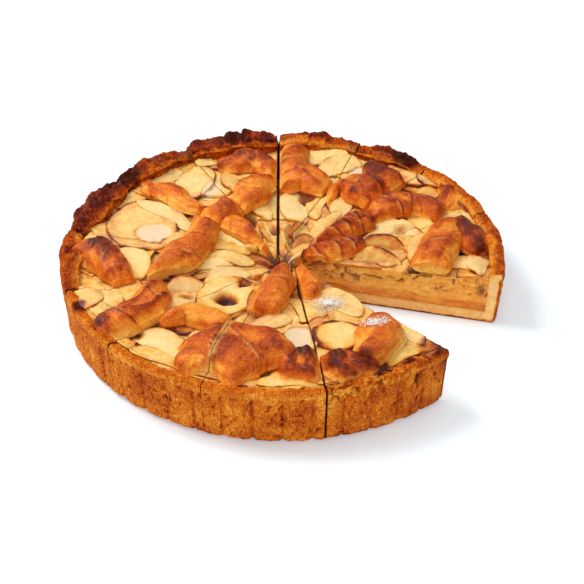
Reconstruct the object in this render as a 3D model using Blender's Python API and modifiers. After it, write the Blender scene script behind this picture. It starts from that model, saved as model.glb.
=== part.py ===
"""Round apple tart in a deep fluted crust, cut into twelve slices with an open gap one portion wide.

The origin is the middle of the base. +X is right, +Y is away from the viewer, +Z is up.
Every length is in millimetres until a mesh is made, where MM turns it into metres.
"""

import math
import random

import bmesh
import bpy
from mathutils import Vector

MM = 0.001
OUTER_RADIUS = 141.0
FLUTES = 52
STEPS_PER_FLUTE = 4
FLUTE_DEPTH = 2.6
FLOOR = 8.0
WALL = 9.0
CLEARANCE = 0.35
LOWEST_RIM = 38.0
RIM_ROUND = 4.0
RIM_SHOULDER = 1.0
FOOT_INSET = 2.2
FOOT_HEIGHT = 1.6
CORE_DROP = 2.6
CORE_RADIUS = 138.0
CORE_STEPS = 36
HEAP_KNOTS = [(0, 25.5), (15, 28.0), (35, 31.0), (60, 33.3), (90, 34.5), (132, 35.5)]
TOP_LIMIT = 80.0
APPLE_SIDES = 8
NARROW_SIDES = 6
NARROW_WIDTH = 9
APPLE_TILT = 0.06
APPLE_SUNK = 1.6
APPLE_LEAST = 1.0
FLAT_SIDE = 0.72
STRIP_SECTION = [(-1.0, 0.0), (-0.95, 0.42), (-0.58, 0.86), (0.0, 1.0),
                 (0.58, 0.86), (0.95, 0.42), (1.0, 0.0)]
STRIP_END_WIDTH = 0.5
STRIP_END_HEIGHT = 0.55
STRIP_END_REACH = 0.75
WELD = 0.00002
FLAT_ANGLE = 0.004

# Each cut runs from the rim, at this angle in degrees, to a point near the middle, then to the middle.
CUTS = [
    ("right_side", -13.7, (14, -3), 0.0),
    ("right", 15.0, (14, 4), 0.5),
    ("right_back", 42.2, (16, 11), 0.5),
    ("back_right", 65.7, (5, 20), 0.5),
    ("back", 91.2, (-3, 14), 2.0),
    ("back_left", 120.2, (-9, 12), 0.6),
    ("left_back", 145.9, (-13, 6), 0.6),
    ("left", 173.8, (-14, -0.5), 0.5),
    ("left_front", 201.2, (-14, -6), 0.5),
    ("front_left", 225.2, (-10, -11), 0.5),
    ("front_blob", 251.6, (-4, -13), 0.5),
    ("front", 279.8, (7, -14), 1.2),
    ("front_side", 311.9, (14, -15), 0.0),
]

# For each slice: rim height in its middle, rim height at its cuts, rim thickness in its middle.
RIMS = [
    (41.5, 40.0, 9.0),
    (42.0, 40.5, 8.5),
    (44.0, 40.5, 10.0),
    (44.5, 41.5, 10.0),
    (46.5, 42.5, 12.5),
    (45.0, 40.5, 11.0),
    (44.5, 40.5, 12.5),
    (42.5, 40.0, 11.0),
    (39.5, 38.5, 9.5),
    (38.0, 37.5, 9.0),
    (37.6, 37.2, 9.0),
    (38.6, 38.0, 9.5),
]

# Apple pieces: x, y, length, width, turn in degrees, rise over the core.
APPLES = [
    # slice 1, at the right
    (63, 3, 34, 15, 5, 7.0), (58, -9, 34, 13, -10, 6.0), (88, 2, 34, 14, 75, 3.6),
    (112, -12, 26, 20, -20, 4.4), (124, -22, 14, 12, 60, 3.2), (30, -5, 26, 8, 12, 5.2),
    # slice 2
    (69, 32, 36, 12, -14, 4.6), (73, 20, 36, 9, 6, 3.4), (124, 52, 30, 9, 112, 4.0),
    (100, 62, 26, 16, 60, 3.6), (92, 30, 22, 12, -60, 3.0), (27, 13, 26, 6, 36, 5.4),
    # slice 3
    (90, 90, 30, 24, -35, 4.2), (52, 92, 20, 16, -30, 3.0), (44, 56, 36, 14, 58, 3.4),
    (27, 33, 30, 8, 48, 4.8),
    # slice 4
    (32, 114, 36, 20, -15, 3.6), (40, 103, 34, 18, 20, 5.0), (9, 56, 36, 18, 100, 4.2),
    (24, 56, 26, 12, 76, 3.0), (5, 26, 26, 6, 82, 6.2), (11, 30, 22, 5, 68, 5.4),
    # slice 5
    (-50, 84, 38, 24, 118, 3.8), (-34, 84, 30, 15, 112, 4.8), (-14, 56, 26, 15, 105, 3.4),
    (-9, 32, 24, 8, 104, 5.4), (-52, 112, 20, 12, 20, 3.0),
    # slice 6
    (-62, 79, 46, 22, 70, 5.0), (-86, 88, 30, 20, 35, 3.4), (-30, 42, 22, 8, 130, 4.2),
    # slice 7
    (-92, 28, 54, 42, 98, 3.6), (-78, 42, 48, 13, -34, 5.6), (-120, 20, 26, 16, -50, 3.0),
    (-68, 13, 22, 12, 22, 5.0), (-38, 18, 34, 9, -22, 5.2), (-38, 9, 32, 8, -8, 3.8),
    # slice 8
    (-98, -16, 34, 24, -68, 3.2), (-118, 2, 26, 12, -15, 4.2), (-34, -5, 30, 10, 6, 4.6),
    (-45, -13, 26, 8, 16, 3.4),
    # slice 9
    (-117, -56, 24, 17, -70, 3.2), (-104, -58, 24, 16, -78, 4.6), (-60, -38, 30, 14, 12, 6.4),
    (-57, -50, 26, 11, 6, 3.6), (-35, -24, 32, 16, 38, 4.6), (-106, -72, 20, 10, -55, 3.4),
    # slice 10
    (-34, -44, 42, 32, 62, 3.8), (-13, -46, 42, 6, 72, 6.4), (-70, -94, 38, 20, -38, 4.4),
    (-62, -58, 20, 8, 40, 3.0),
    # slice 11
    (9, -90, 28, 20, -82, 3.0), (-8, -74, 24, 12, 15, 4.0), (-7, -30, 22, 5, 78, 5.8),
    (3, -30, 20, 5, -84, 5.0),
    # slice 12
    (31, -54, 36, 18, -28, 4.2), (33, -86, 32, 24, 10, 5.6), (70, -86, 28, 15, -38, 4.4),
    (62, -100, 22, 12, 55, 3.2),
]

# Dough strips: name, slices they lie on, height, then x, y and half width along the middle.
STRIPS = [
    ("strip_back_lobe", (5,), 12.0, [(-12, 78, 8), (-21, 65, 10), (-31, 51, 8)]),
    ("strip_left_upper", (6,), 12.0, [(-33, 46, 8), (-42, 40, 9), (-52, 32, 8)]),
    ("strip_left_inner", (6,), 10.0, [(-45, 31, 8), (-31, 27, 9.5), (-21, 18, 8), (-13, 8, 5)]),
    ("strip_left_long", (7, 8), 12.5,
     [(-51, 27, 8), (-55, 10, 10), (-63, -7, 12), (-72, -20, 10), (-80, -32, 4)]),
    ("strip_left_ridged", (6,), 9.0, [(-93, 71, 7), (-80, 65, 10), (-68, 55, 9), (-57, 47, 6)]),
    ("strip_back_rim", (5,), 10.0, [(-40, 104, 8), (-24, 108, 10), (-13, 104, 8)]),
    ("strip_back_cut", (5,), 9.0, [(-10, 104, 6), (-9, 84, 6)]),
    ("strip_left_rim", (8,), 12.0, [(-126, -5, 9), (-117, -12, 11), (-106, -23, 10), (-98, -35, 7)]),
    ("strip_front_left", (9,), 13.0,
     [(-76, -46, 8), (-79, -57, 12), (-84, -69, 13), (-91, -79, 11), (-102, -84, 7)]),
    ("strip_front_inner", (10,), 11.0, [(-68, -72, 6), (-57, -67, 9), (-45, -71, 10), (-34, -78, 7)]),
    ("strip_front_leaf", (10, 11), 14.0,
     [(-52, -117, 8), (-43, -109, 19), (-28, -105, 22), (-12, -104, 18), (1, -107, 8)]),
    ("strip_front_long", (11,), 13.0, [(-1, -20, 6), (-3, -35, 9), (-7, -50, 9), (-10, -61, 7)]),
    ("strip_front_tip", (12,), 10.0, [(11, -19, 4), (15, -32, 8), (18, -44, 6)]),
    ("strip_front_rim", (11,), 12.0, [(4, -117, 8), (12, -118, 10), (20, -118, 8)]),
    ("strip_front_dark", (12,), 11.0, [(27, -118, 9), (36, -118, 9), (47, -116, 8)]),
    ("strip_front_sugar", (12,), 13.0, [(58, -82, 9), (54, -95, 11), (48, -107, 9)]),
    ("strip_right_rim", (1,), 11.0, [(118, 24, 8), (122, 12, 10), (124, 0, 8)]),
    ("strip_right_long", (1,), 13.0, [(110, 22, 9), (105, 9, 11), (98, -8, 12), (91, -25, 10)]),
    ("strip_right_arch", (2,), 12.0, [(62, 40, 7), (74, 48, 10), (88, 50, 11), (101, 42, 8)]),
    ("strip_right_thin", (2,), 8.0, [(113, 74, 5), (116, 62, 6), (116, 50, 6)]),
    ("strip_back_round", (3,), 13.0, [(65, 91, 10), (73, 83, 12), (79, 75, 9)]),
    ("strip_back_dark", (3,), 12.0, [(48, 77, 9), (56, 66, 13), (61, 56, 9)]),
    ("strip_back_bent", (4,), 11.0, [(4, 80, 9), (17, 84, 11), (29, 74, 9)]),
    ("strip_back_flake", (3,), 8.0, [(38, 78, 4), (33, 62, 4)]),
    ("strip_back_wide", (4,), 12.0, [(9, 122, 9), (7, 106, 10), (6, 90, 8)]),
    ("strip_right_upper", (2,), 11.0, [(27, 17, 7), (40, 26, 9), (55, 29, 7)]),
    ("strip_right_lower", (1,), 12.0, [(18, -2, 6), (31, 0, 9), (46, 5, 8)]),
]

CRUST_COLOUR = (0.55, 0.26, 0.08, 1.0)
FILLING_COLOUR = (0.86, 0.66, 0.33, 1.0)
STRIP_COLOUR = (0.60, 0.24, 0.06, 1.0)


def between(value, knots):
    """Straight-line value between the knots, which are pairs in rising order."""
    if value <= knots[0][0]:
        return knots[0][1]
    for (a, low), (b, high) in zip(knots, knots[1:]):
        if value <= b:
            return low + (high - low) * (value - a) / (b - a)
    return knots[-1][1]


def heap_height(x, y):
    """Mean height of the apples, which sink towards the middle."""
    return between(math.hypot(x, y), HEAP_KNOTS)


def core_height(x, y):
    return heap_height(x, y) - CORE_DROP


def slice_at(angle):
    """Number of the slice at this angle in degrees, and the share of its width that lies before it."""
    angle = (angle - CUTS[0][1]) % 360.0 + CUTS[0][1]
    for i in range(len(CUTS) - 1):
        if CUTS[i][1] <= angle < CUTS[i + 1][1]:
            return i, (angle - CUTS[i][1]) / (CUTS[i + 1][1] - CUTS[i][1])
    return None, 0.0


def rim_shape(angle):
    """Height and thickness of the rim: fullest in the middle of each slice, lower at its cuts."""
    i, share = slice_at(angle)
    if i is None:
        return LOWEST_RIM, WALL
    middle, at_cut, thick = RIMS[i]
    bulge = 1.0 - abs(2.0 * share - 1.0) ** 3
    ripple = 0.5 * math.sin(math.radians(angle) * 23.0) + 0.35 * math.sin(math.radians(angle) * 37.0 + 1.0)
    return at_cut + (middle - at_cut) * bulge + ripple * bulge, WALL + (thick - WALL) * bulge


def inner_radius(angle):
    """Radius that stays clear of the wall's inner side, which has flats between its corners."""
    return OUTER_RADIUS - max(rim_shape(angle + turn)[1] for turn in (-1.8, 0.0, 1.8))


def flute_radius(step):
    """Outer radius at a step of the way round: a narrow groove, then a wide shallow bulge."""
    return OUTER_RADIUS - (FLUTE_DEPTH, 0.3, 0.0, 0.3)[step % STEPS_PER_FLUTE]


def polar(radius, angle, height):
    a = math.radians(angle)
    return Vector((radius * math.cos(a), radius * math.sin(a), height))


def make_mesh(name, points, faces):
    mesh = bpy.data.meshes.new(name)
    mesh.from_pydata([tuple(p * MM for p in point) for point in points], [], faces)
    tidy_mesh(mesh)
    return mesh


def tidy_mesh(mesh):
    work = bmesh.new()
    work.from_mesh(mesh)
    bmesh.ops.recalc_face_normals(work, faces=work.faces)
    bmesh.ops.triangulate(work, faces=work.faces)
    work.to_mesh(mesh)
    work.free()


def add_object(name, mesh, collection):
    obj = bpy.data.objects.new(name, mesh)
    collection.objects.link(obj)
    return obj


def crust_ring(collection):
    """The whole crust: floor, fluted wall and rolled rim, swept round the middle."""
    steps = FLUTES * STEPS_PER_FLUTE
    points = []
    for s in range(steps):
        angle = 360.0 * s / steps
        out = flute_radius(s)
        top, thick = rim_shape(angle)
        inner = OUTER_RADIUS - thick
        section = [(out - FOOT_INSET, 0.0), (out - 0.4, FOOT_HEIGHT), (out, top - RIM_ROUND)]
        section += [(out - 1.4, top - RIM_SHOULDER), (out - 0.42 * thick, top)]
        section += [(inner + 0.18 * thick, top - RIM_SHOULDER), (inner, top - RIM_ROUND), (inner, FLOOR)]
        points += [polar(r, angle, z) for r, z in section]
    rows = 8
    faces = []
    for s in range(steps):
        n = (s + 1) % steps
        for k in range(rows - 1):
            faces.append((s * rows + k, n * rows + k, n * rows + k + 1, s * rows + k + 1))
    points += [Vector((0, 0, 0)), Vector((0, 0, FLOOR))]
    under, over = len(points) - 2, len(points) - 1
    for s in range(steps):
        n = (s + 1) % steps
        faces.append((n * rows, s * rows, under))
        faces.append((s * rows + rows - 1, n * rows + rows - 1, over))
    return add_object("crust_ring", make_mesh("crust_ring", points, faces), collection)


def filling_core(collection):
    """The bare heap of filling: a turned bowl-topped disc, wider and deeper than the slices cut from it."""
    profile = [(r, core_height(r, 0)) for r in (0, 22, 45, 72, 102, CORE_RADIUS)]
    profile += [(CORE_RADIUS, 0.0), (0.0, 0.0)]
    mesh = bpy.data.meshes.new("filling_core")
    edges = [(k, k + 1) for k in range(len(profile) - 1)]
    mesh.from_pydata([(r * MM, 0.0, z * MM) for r, z in profile], edges, [])
    core = add_object("filling_core", mesh, collection)
    screw = core.modifiers.new("turn", "SCREW")
    screw.angle = math.tau
    screw.steps = CORE_STEPS
    screw.render_steps = CORE_STEPS
    screw.use_merge_vertices = True
    screw.merge_threshold = 0.0001
    apply_modifiers(core)
    tidy_mesh(core.data)
    return core


def raised_outline(name, outline, low, high, collection):
    """A flat outline in plan raised to a straight-sided block."""
    work = bmesh.new()
    base = work.faces.new([work.verts.new((x * MM, y * MM, low * MM)) for x, y in outline])
    raised = bmesh.ops.extrude_face_region(work, geom=[base])
    moved = [item for item in raised["geom"] if isinstance(item, bmesh.types.BMVert)]
    bmesh.ops.translate(work, vec=(0.0, 0.0, (high - low) * MM), verts=moved)
    mesh = bpy.data.meshes.new(name)
    work.to_mesh(mesh)
    work.free()
    tidy_mesh(mesh)
    return add_object(name, mesh, collection)


def apple_piece(name, row, rng, collection):
    """A half-moon of apple with a tilted top, sunk into the core all the way round."""
    x, y, length, width, turn, rise = row
    sides = APPLE_SIDES if width > NARROW_WIDTH else NARROW_SIDES
    tilt_x, tilt_y = rng.uniform(-APPLE_TILT, APPLE_TILT), rng.uniform(-APPLE_TILT, APPLE_TILT)
    ca, sa = math.cos(math.radians(turn)), math.sin(math.radians(turn))
    outline = []
    for k in range(sides):
        a = math.tau * k / sides + 0.2
        u, v = math.cos(a) * length / 2.0, math.sin(a) * width / 2.0
        if v < 0.0:
            v *= FLAT_SIDE
        outline.append((x + ca * u - sa * v, y + sa * u + ca * v))
    base = core_height(x, y)
    piece = raised_outline(name, outline, base, base + rise, collection)
    for vertex in piece.data.vertices:
        px, py = vertex.co.x / MM, vertex.co.y / MM
        if vertex.co.z < (base + rise / 2.0) * MM:
            vertex.co.z = (core_height(px, py) - APPLE_SUNK) * MM
        else:
            top = base + rise + tilt_x * (px - x) + tilt_y * (py - y)
            vertex.co.z = max(top, core_height(px, py) + APPLE_LEAST) * MM
    return piece


def smooth_path(knots, count):
    """Points at even steps on a smooth curve through the knots."""
    points = []
    spans = len(knots) - 1
    for i in range(count):
        t = spans * i / (count - 1)
        k = min(int(t), spans - 1)
        t -= k
        a, b, c, d = knots[max(k - 1, 0)], knots[k], knots[k + 1], knots[min(k + 2, spans)]
        point = []
        for p, q, r, s in zip(a, b, c, d):
            point.append(0.5 * (2 * q + (r - p) * t + (2 * p - 5 * q + 4 * r - s) * t * t
                                + (3 * q - p - 3 * r + s) * t ** 3))
        points.append(tuple(point))
    return points


def strip_end(row, way, grow):
    """The small last section of a strip, beyond the row at its end."""
    middle, along, half, _ = row
    reach = half * STRIP_END_REACH + grow
    return middle + along * (way * reach), along, half * STRIP_END_WIDTH, STRIP_END_HEIGHT


def strip_mesh(name, height, knots, grow, collection):
    """A puffy strip of dough, flat below and rounded above, with rounded ends."""
    stations = smooth_path(knots, 2 * len(knots))
    count = len(STRIP_SECTION)
    rows = []
    for i, (x, y, half) in enumerate(stations):
        before, after = stations[max(i - 1, 0)], stations[min(i + 1, len(stations) - 1)]
        along = Vector((after[0] - before[0], after[1] - before[1])).normalized()
        rows.append((Vector((x, y)), along, half, 1.0))
    first, last = rows[0], rows[-1]
    rows.insert(0, strip_end(first, -1.0, grow))
    rows.append(strip_end(last, 1.0, grow))
    points = []
    for middle, along, half, scale in rows:
        side = Vector((-along.y, along.x))
        low = core_height(middle.x, middle.y) + CLEARANCE - grow
        tall = height * scale + 2.0 * grow
        for u, v in STRIP_SECTION:
            spot = middle + side * (u * (half + grow))
            points.append((spot.x, spot.y, low + v * tall))
    faces = []
    for i in range(len(rows) - 1):
        for k in range(count):
            n = (k + 1) % count
            faces.append((i * count + k, i * count + n, (i + 1) * count + n, (i + 1) * count + k))
    faces.append(tuple(range(count)))
    faces.append(tuple(reversed(range((len(rows) - 1) * count, len(rows) * count))))
    return add_object(name, make_mesh(name, points, faces), collection)


def offset_outline(outline, offsets):
    """Move each side of a closed outline inwards by its own amount; side k starts at point k."""
    moved = []
    count = len(outline)
    lines = []
    for k in range(count):
        a, b = Vector(outline[k]), Vector(outline[(k + 1) % count])
        along = (b - a).normalized()
        inward = Vector((-along.y, along.x))
        lines.append((a + inward * offsets[k], along))
    for k in range(count):
        (p, u), (q, v) = lines[k - 1], lines[k]
        cross = u.x * v.y - u.y * v.x
        if abs(cross) < 1e-6:
            moved.append(q)
            continue
        t = ((q.x - p.x) * v.y - (q.y - p.y) * v.x) / cross
        moved.append(p + u * t)
    return moved


def slice_outline(index, radius_at):
    """Plan of a slice between two cuts, drawn anticlockwise from the middle."""
    _, start, near, gap = CUTS[index]
    _, end, far, far_gap = CUTS[index + 1]
    steps = FLUTES * STEPS_PER_FLUTE // 2
    angles = [start] + [a for a in (360.0 * s / steps - 360.0 for s in range(2 * steps + 1))
                        if start + 0.5 < a < end - 0.5] + [end]
    outline = [(0.0, 0.0), near] + [tuple(polar(radius_at(a), a, 0.0).xy) for a in angles] + [far]
    offsets = [gap / 2.0, gap / 2.0] + [0.0] * (len(angles) - 1) + [far_gap / 2.0, far_gap / 2.0]
    return offset_outline(outline, offsets)


def slice_prism(name, index, radius_at, low, collection):
    return raised_outline(name, slice_outline(index, radius_at), low, TOP_LIMIT, collection)


def apply_modifiers(obj):
    bpy.context.view_layer.update()
    graph = bpy.context.evaluated_depsgraph_get()
    result = bpy.data.meshes.new_from_object(obj.evaluated_get(graph))
    old = obj.data
    obj.modifiers.clear()
    obj.data = result
    bpy.data.meshes.remove(old)
    result.name = obj.name


def apply_boolean(obj, operation, operand, as_collection=False):
    modifier = obj.modifiers.new(operation.lower(), "BOOLEAN")
    modifier.operation = operation
    modifier.solver = "EXACT"
    if as_collection:
        modifier.operand_type = "COLLECTION"
        modifier.collection = operand
    else:
        modifier.object = operand
    apply_modifiers(obj)


def clean_solid(obj):
    """Weld the seams of a solid, merge its flat faces and drop scraps that hang loose."""
    work = bmesh.new()
    work.from_mesh(obj.data)
    bmesh.ops.remove_doubles(work, verts=work.verts, dist=WELD)
    bmesh.ops.dissolve_degenerate(work, edges=work.edges, dist=WELD)
    bmesh.ops.dissolve_limit(work, angle_limit=FLAT_ANGLE, verts=work.verts, edges=work.edges)
    bmesh.ops.triangulate(work, faces=work.faces)
    groups = islands(work)
    volumes = [group_volume(faces) for faces in groups]
    biggest = max(abs(v) for v in volumes)
    drop = [f for faces, v in zip(groups, volumes) if abs(v) < biggest for f in faces]
    if drop:
        bmesh.ops.delete(work, geom=drop, context="FACES")
        bmesh.ops.delete(work, geom=[v for v in work.verts if not v.link_faces], context="VERTS")
    bmesh.ops.recalc_face_normals(work, faces=work.faces)
    work.to_mesh(obj.data)
    work.free()


def islands(work):
    groups = []
    seen = set()
    for start in work.faces:
        if start in seen:
            continue
        stack = [start]
        seen.add(start)
        faces = []
        while stack:
            face = stack.pop()
            faces.append(face)
            for edge in face.edges:
                for other in edge.link_faces:
                    if other not in seen:
                        seen.add(other)
                        stack.append(other)
        groups.append(faces)
    return groups


def group_volume(faces):
    total = 0.0
    for face in faces:
        a, b, c = (v.co for v in face.verts[:3])
        total += a.dot(b.cross(c)) / 6.0
    return total


def copy_object(source, name, collection):
    return add_object(name, source.data.copy(), collection)


def remove_objects(objects):
    for obj in list(objects):
        bpy.data.objects.remove(obj, do_unlink=True)


def new_collection(name, parent):
    collection = bpy.data.collections.new(name)
    parent.children.link(collection)
    return collection


def near_each_other(a, b):
    """Whether the boxes round two objects overlap."""
    for axis in range(3):
        low_a, high_a = min(v.co[axis] for v in a.data.vertices), max(v.co[axis] for v in a.data.vertices)
        low_b, high_b = min(v.co[axis] for v in b.data.vertices), max(v.co[axis] for v in b.data.vertices)
        if low_a > high_b or low_b > high_a:
            return False
    return True


def give_material(obj, colour, roughness):
    material = bpy.data.materials.new(obj.name + "_mat")
    material.use_nodes = True
    shader = material.node_tree.nodes["Principled BSDF"]
    shader.inputs["Base Color"].default_value = colour
    shader.inputs["Roughness"].default_value = roughness
    material.diffuse_color = colour
    obj.data.materials.clear()
    obj.data.materials.append(material)


def build_strips(parts, tools):
    """Strips in order: each later one is fitted to the ones already there and trimmed to its slice."""
    grown_all = []
    for name, slices, height, knots in STRIPS:
        whole = strip_mesh(name + "_whole", height, knots, 0.0, tools)
        for grown in grown_all:
            if near_each_other(whole, grown):
                apply_boolean(whole, "DIFFERENCE", grown)
        for number in slices:
            label = name if len(slices) == 1 else "%s_%02d" % (name, number)
            piece = copy_object(whole, label, parts)
            prism = slice_prism(label + "_prism", number - 1, lambda a: inner_radius(a) - 0.5, 1.0, tools)
            apply_boolean(piece, "INTERSECT", prism)
            clean_solid(piece)
            give_material(piece, STRIP_COLOUR, 0.45)
            bpy.data.objects.remove(prism, do_unlink=True)
        bpy.data.objects.remove(whole, do_unlink=True)
        grown = strip_mesh(name + "_grown", height, knots, CLEARANCE, tools)
        grown_all.append(grown)
    return grown_all


def build_fillings(parts, tools, grown_strips):
    """The heap with its apple pieces, cut into slices, with hollows where the strips lie."""
    rng = random.Random(7)
    pieces = new_collection("apple_pieces", tools)
    core = filling_core(tools)
    for k, row in enumerate(APPLES):
        apple_piece("apple_%02d" % k, row, rng, pieces)
    bpy.context.view_layer.update()
    apply_boolean(core, "UNION", pieces, as_collection=True)
    remove_objects(pieces.objects)
    bpy.data.collections.remove(pieces)
    for index in range(len(CUTS) - 1):
        filling = copy_object(core, "filling_%02d" % (index + 1), parts)
        prism = slice_prism("prism", index, lambda a: inner_radius(a) - CLEARANCE, FLOOR + CLEARANCE, tools)
        apply_boolean(filling, "INTERSECT", prism)
        bpy.data.objects.remove(prism, do_unlink=True)
        for grown in grown_strips:
            if near_each_other(filling, grown):
                apply_boolean(filling, "DIFFERENCE", grown)
        clean_solid(filling)
        give_material(filling, FILLING_COLOUR, 0.5)
    bpy.data.objects.remove(core, do_unlink=True)


def build_crusts(parts, tools):
    ring = crust_ring(tools)
    for index in range(len(CUTS) - 1):
        crust = copy_object(ring, "crust_%02d" % (index + 1), parts)
        prism = slice_prism("prism", index, lambda a: OUTER_RADIUS + 12.0, -2.0, tools)
        apply_boolean(crust, "INTERSECT", prism)
        bpy.data.objects.remove(prism, do_unlink=True)
        clean_solid(crust)
        give_material(crust, CRUST_COLOUR, 0.75)
    bpy.data.objects.remove(ring, do_unlink=True)


def main():
    remove_objects(bpy.data.objects)
    scene = bpy.context.scene
    scene.unit_settings.system = "METRIC"
    parts = new_collection("apple_tart", scene.collection)
    tools = new_collection("cutters", scene.collection)
    build_crusts(parts, tools)
    grown = build_strips(parts, tools)
    build_fillings(parts, tools, grown)
    remove_objects(tools.objects)
    bpy.data.collections.remove(tools)


main()
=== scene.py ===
"""Looks of the sliced apple tart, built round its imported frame.

Lengths are in millimetres until a mesh is made.
"""

import math

import bmesh
import bpy
import numpy as np
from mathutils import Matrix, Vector


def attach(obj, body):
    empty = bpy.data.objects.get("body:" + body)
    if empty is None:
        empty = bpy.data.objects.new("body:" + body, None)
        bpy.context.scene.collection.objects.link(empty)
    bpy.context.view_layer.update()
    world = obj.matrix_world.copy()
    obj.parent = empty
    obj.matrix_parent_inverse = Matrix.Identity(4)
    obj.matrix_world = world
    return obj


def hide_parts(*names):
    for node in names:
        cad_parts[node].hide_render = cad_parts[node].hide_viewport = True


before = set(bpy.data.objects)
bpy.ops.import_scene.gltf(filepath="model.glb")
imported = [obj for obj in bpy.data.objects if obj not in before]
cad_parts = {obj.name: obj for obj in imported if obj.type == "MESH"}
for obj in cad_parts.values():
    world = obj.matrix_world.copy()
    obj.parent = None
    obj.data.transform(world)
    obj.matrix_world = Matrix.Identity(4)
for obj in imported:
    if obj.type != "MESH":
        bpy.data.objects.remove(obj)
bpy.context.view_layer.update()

MM = 0.001
OUTER_RADIUS = 141.0
FLUTES = 52
FLUTE_PITCH = 17.0
FLOOR = 8.0
WALL = 9.0
SLICES = 12
# Materials of a mesh beside the first: a cap where a knife line crosses a piece, and the side at a cut.
CAP, CUT = 1, 2
APPLE_SEED, DOUGH_SEED = 11, 5

# Cuts, anticlockwise from the missing slice: angle at the rim in degrees, a point near the middle, width.
CUTS = [
    (-13.7, (14, -3), 0.0),
    (15.0, (14, 4), 0.5),
    (42.2, (16, 11), 0.5),
    (65.7, (5, 20), 0.6),
    (91.2, (-3, 14), 2.0),
    (120.2, (-9, 12), 0.7),
    (145.9, (-13, 6), 0.7),
    (173.8, (-14, -0.5), 0.5),
    (201.2, (-14, -6), 0.5),
    (225.2, (-10, -11), 0.5),
    (251.6, (-4, -13), 0.4),
    (279.8, (7, -14), 1.2),
    (311.9, (14, -15), 0.0),
]

# Rim of each slice: height in its middle and at its cuts, thickness, and how dark it is baked.
RIMS = [
    (41.5, 40.0, 9.0, 0.55),
    (42.0, 40.5, 8.5, 0.50),
    (44.0, 40.5, 10.0, 0.72),
    (44.5, 41.5, 10.0, 0.68),
    (46.5, 42.5, 12.5, 0.92),
    (45.0, 40.5, 11.0, 0.78),
    (44.5, 40.5, 12.5, 0.92),
    (42.5, 40.0, 11.0, 0.62),
    (39.5, 38.5, 9.5, 0.42),
    (38.0, 37.5, 9.0, 0.34),
    (37.6, 37.2, 9.0, 0.38),
    (38.6, 38.0, 9.5, 0.45),
]

# Swellings of the rim: angle, half width in degrees, extra thickness inwards, extra height.
LOBES = [
    (56, 7, 2.0, 0.6), (78, 6, 2.0, 0.5), (98, 7, 4.0, 0.8), (111, 6, 4.0, 0.8), (133, 8, 2.5, 0.8),
    (152, 6, 3.0, 0.6), (163, 6, 3.5, 0.6), (184, 6, 2.0, 0.5), (25, 6, 1.0, 0.4), (302, 6, 1.5, 0.6),
]

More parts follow.
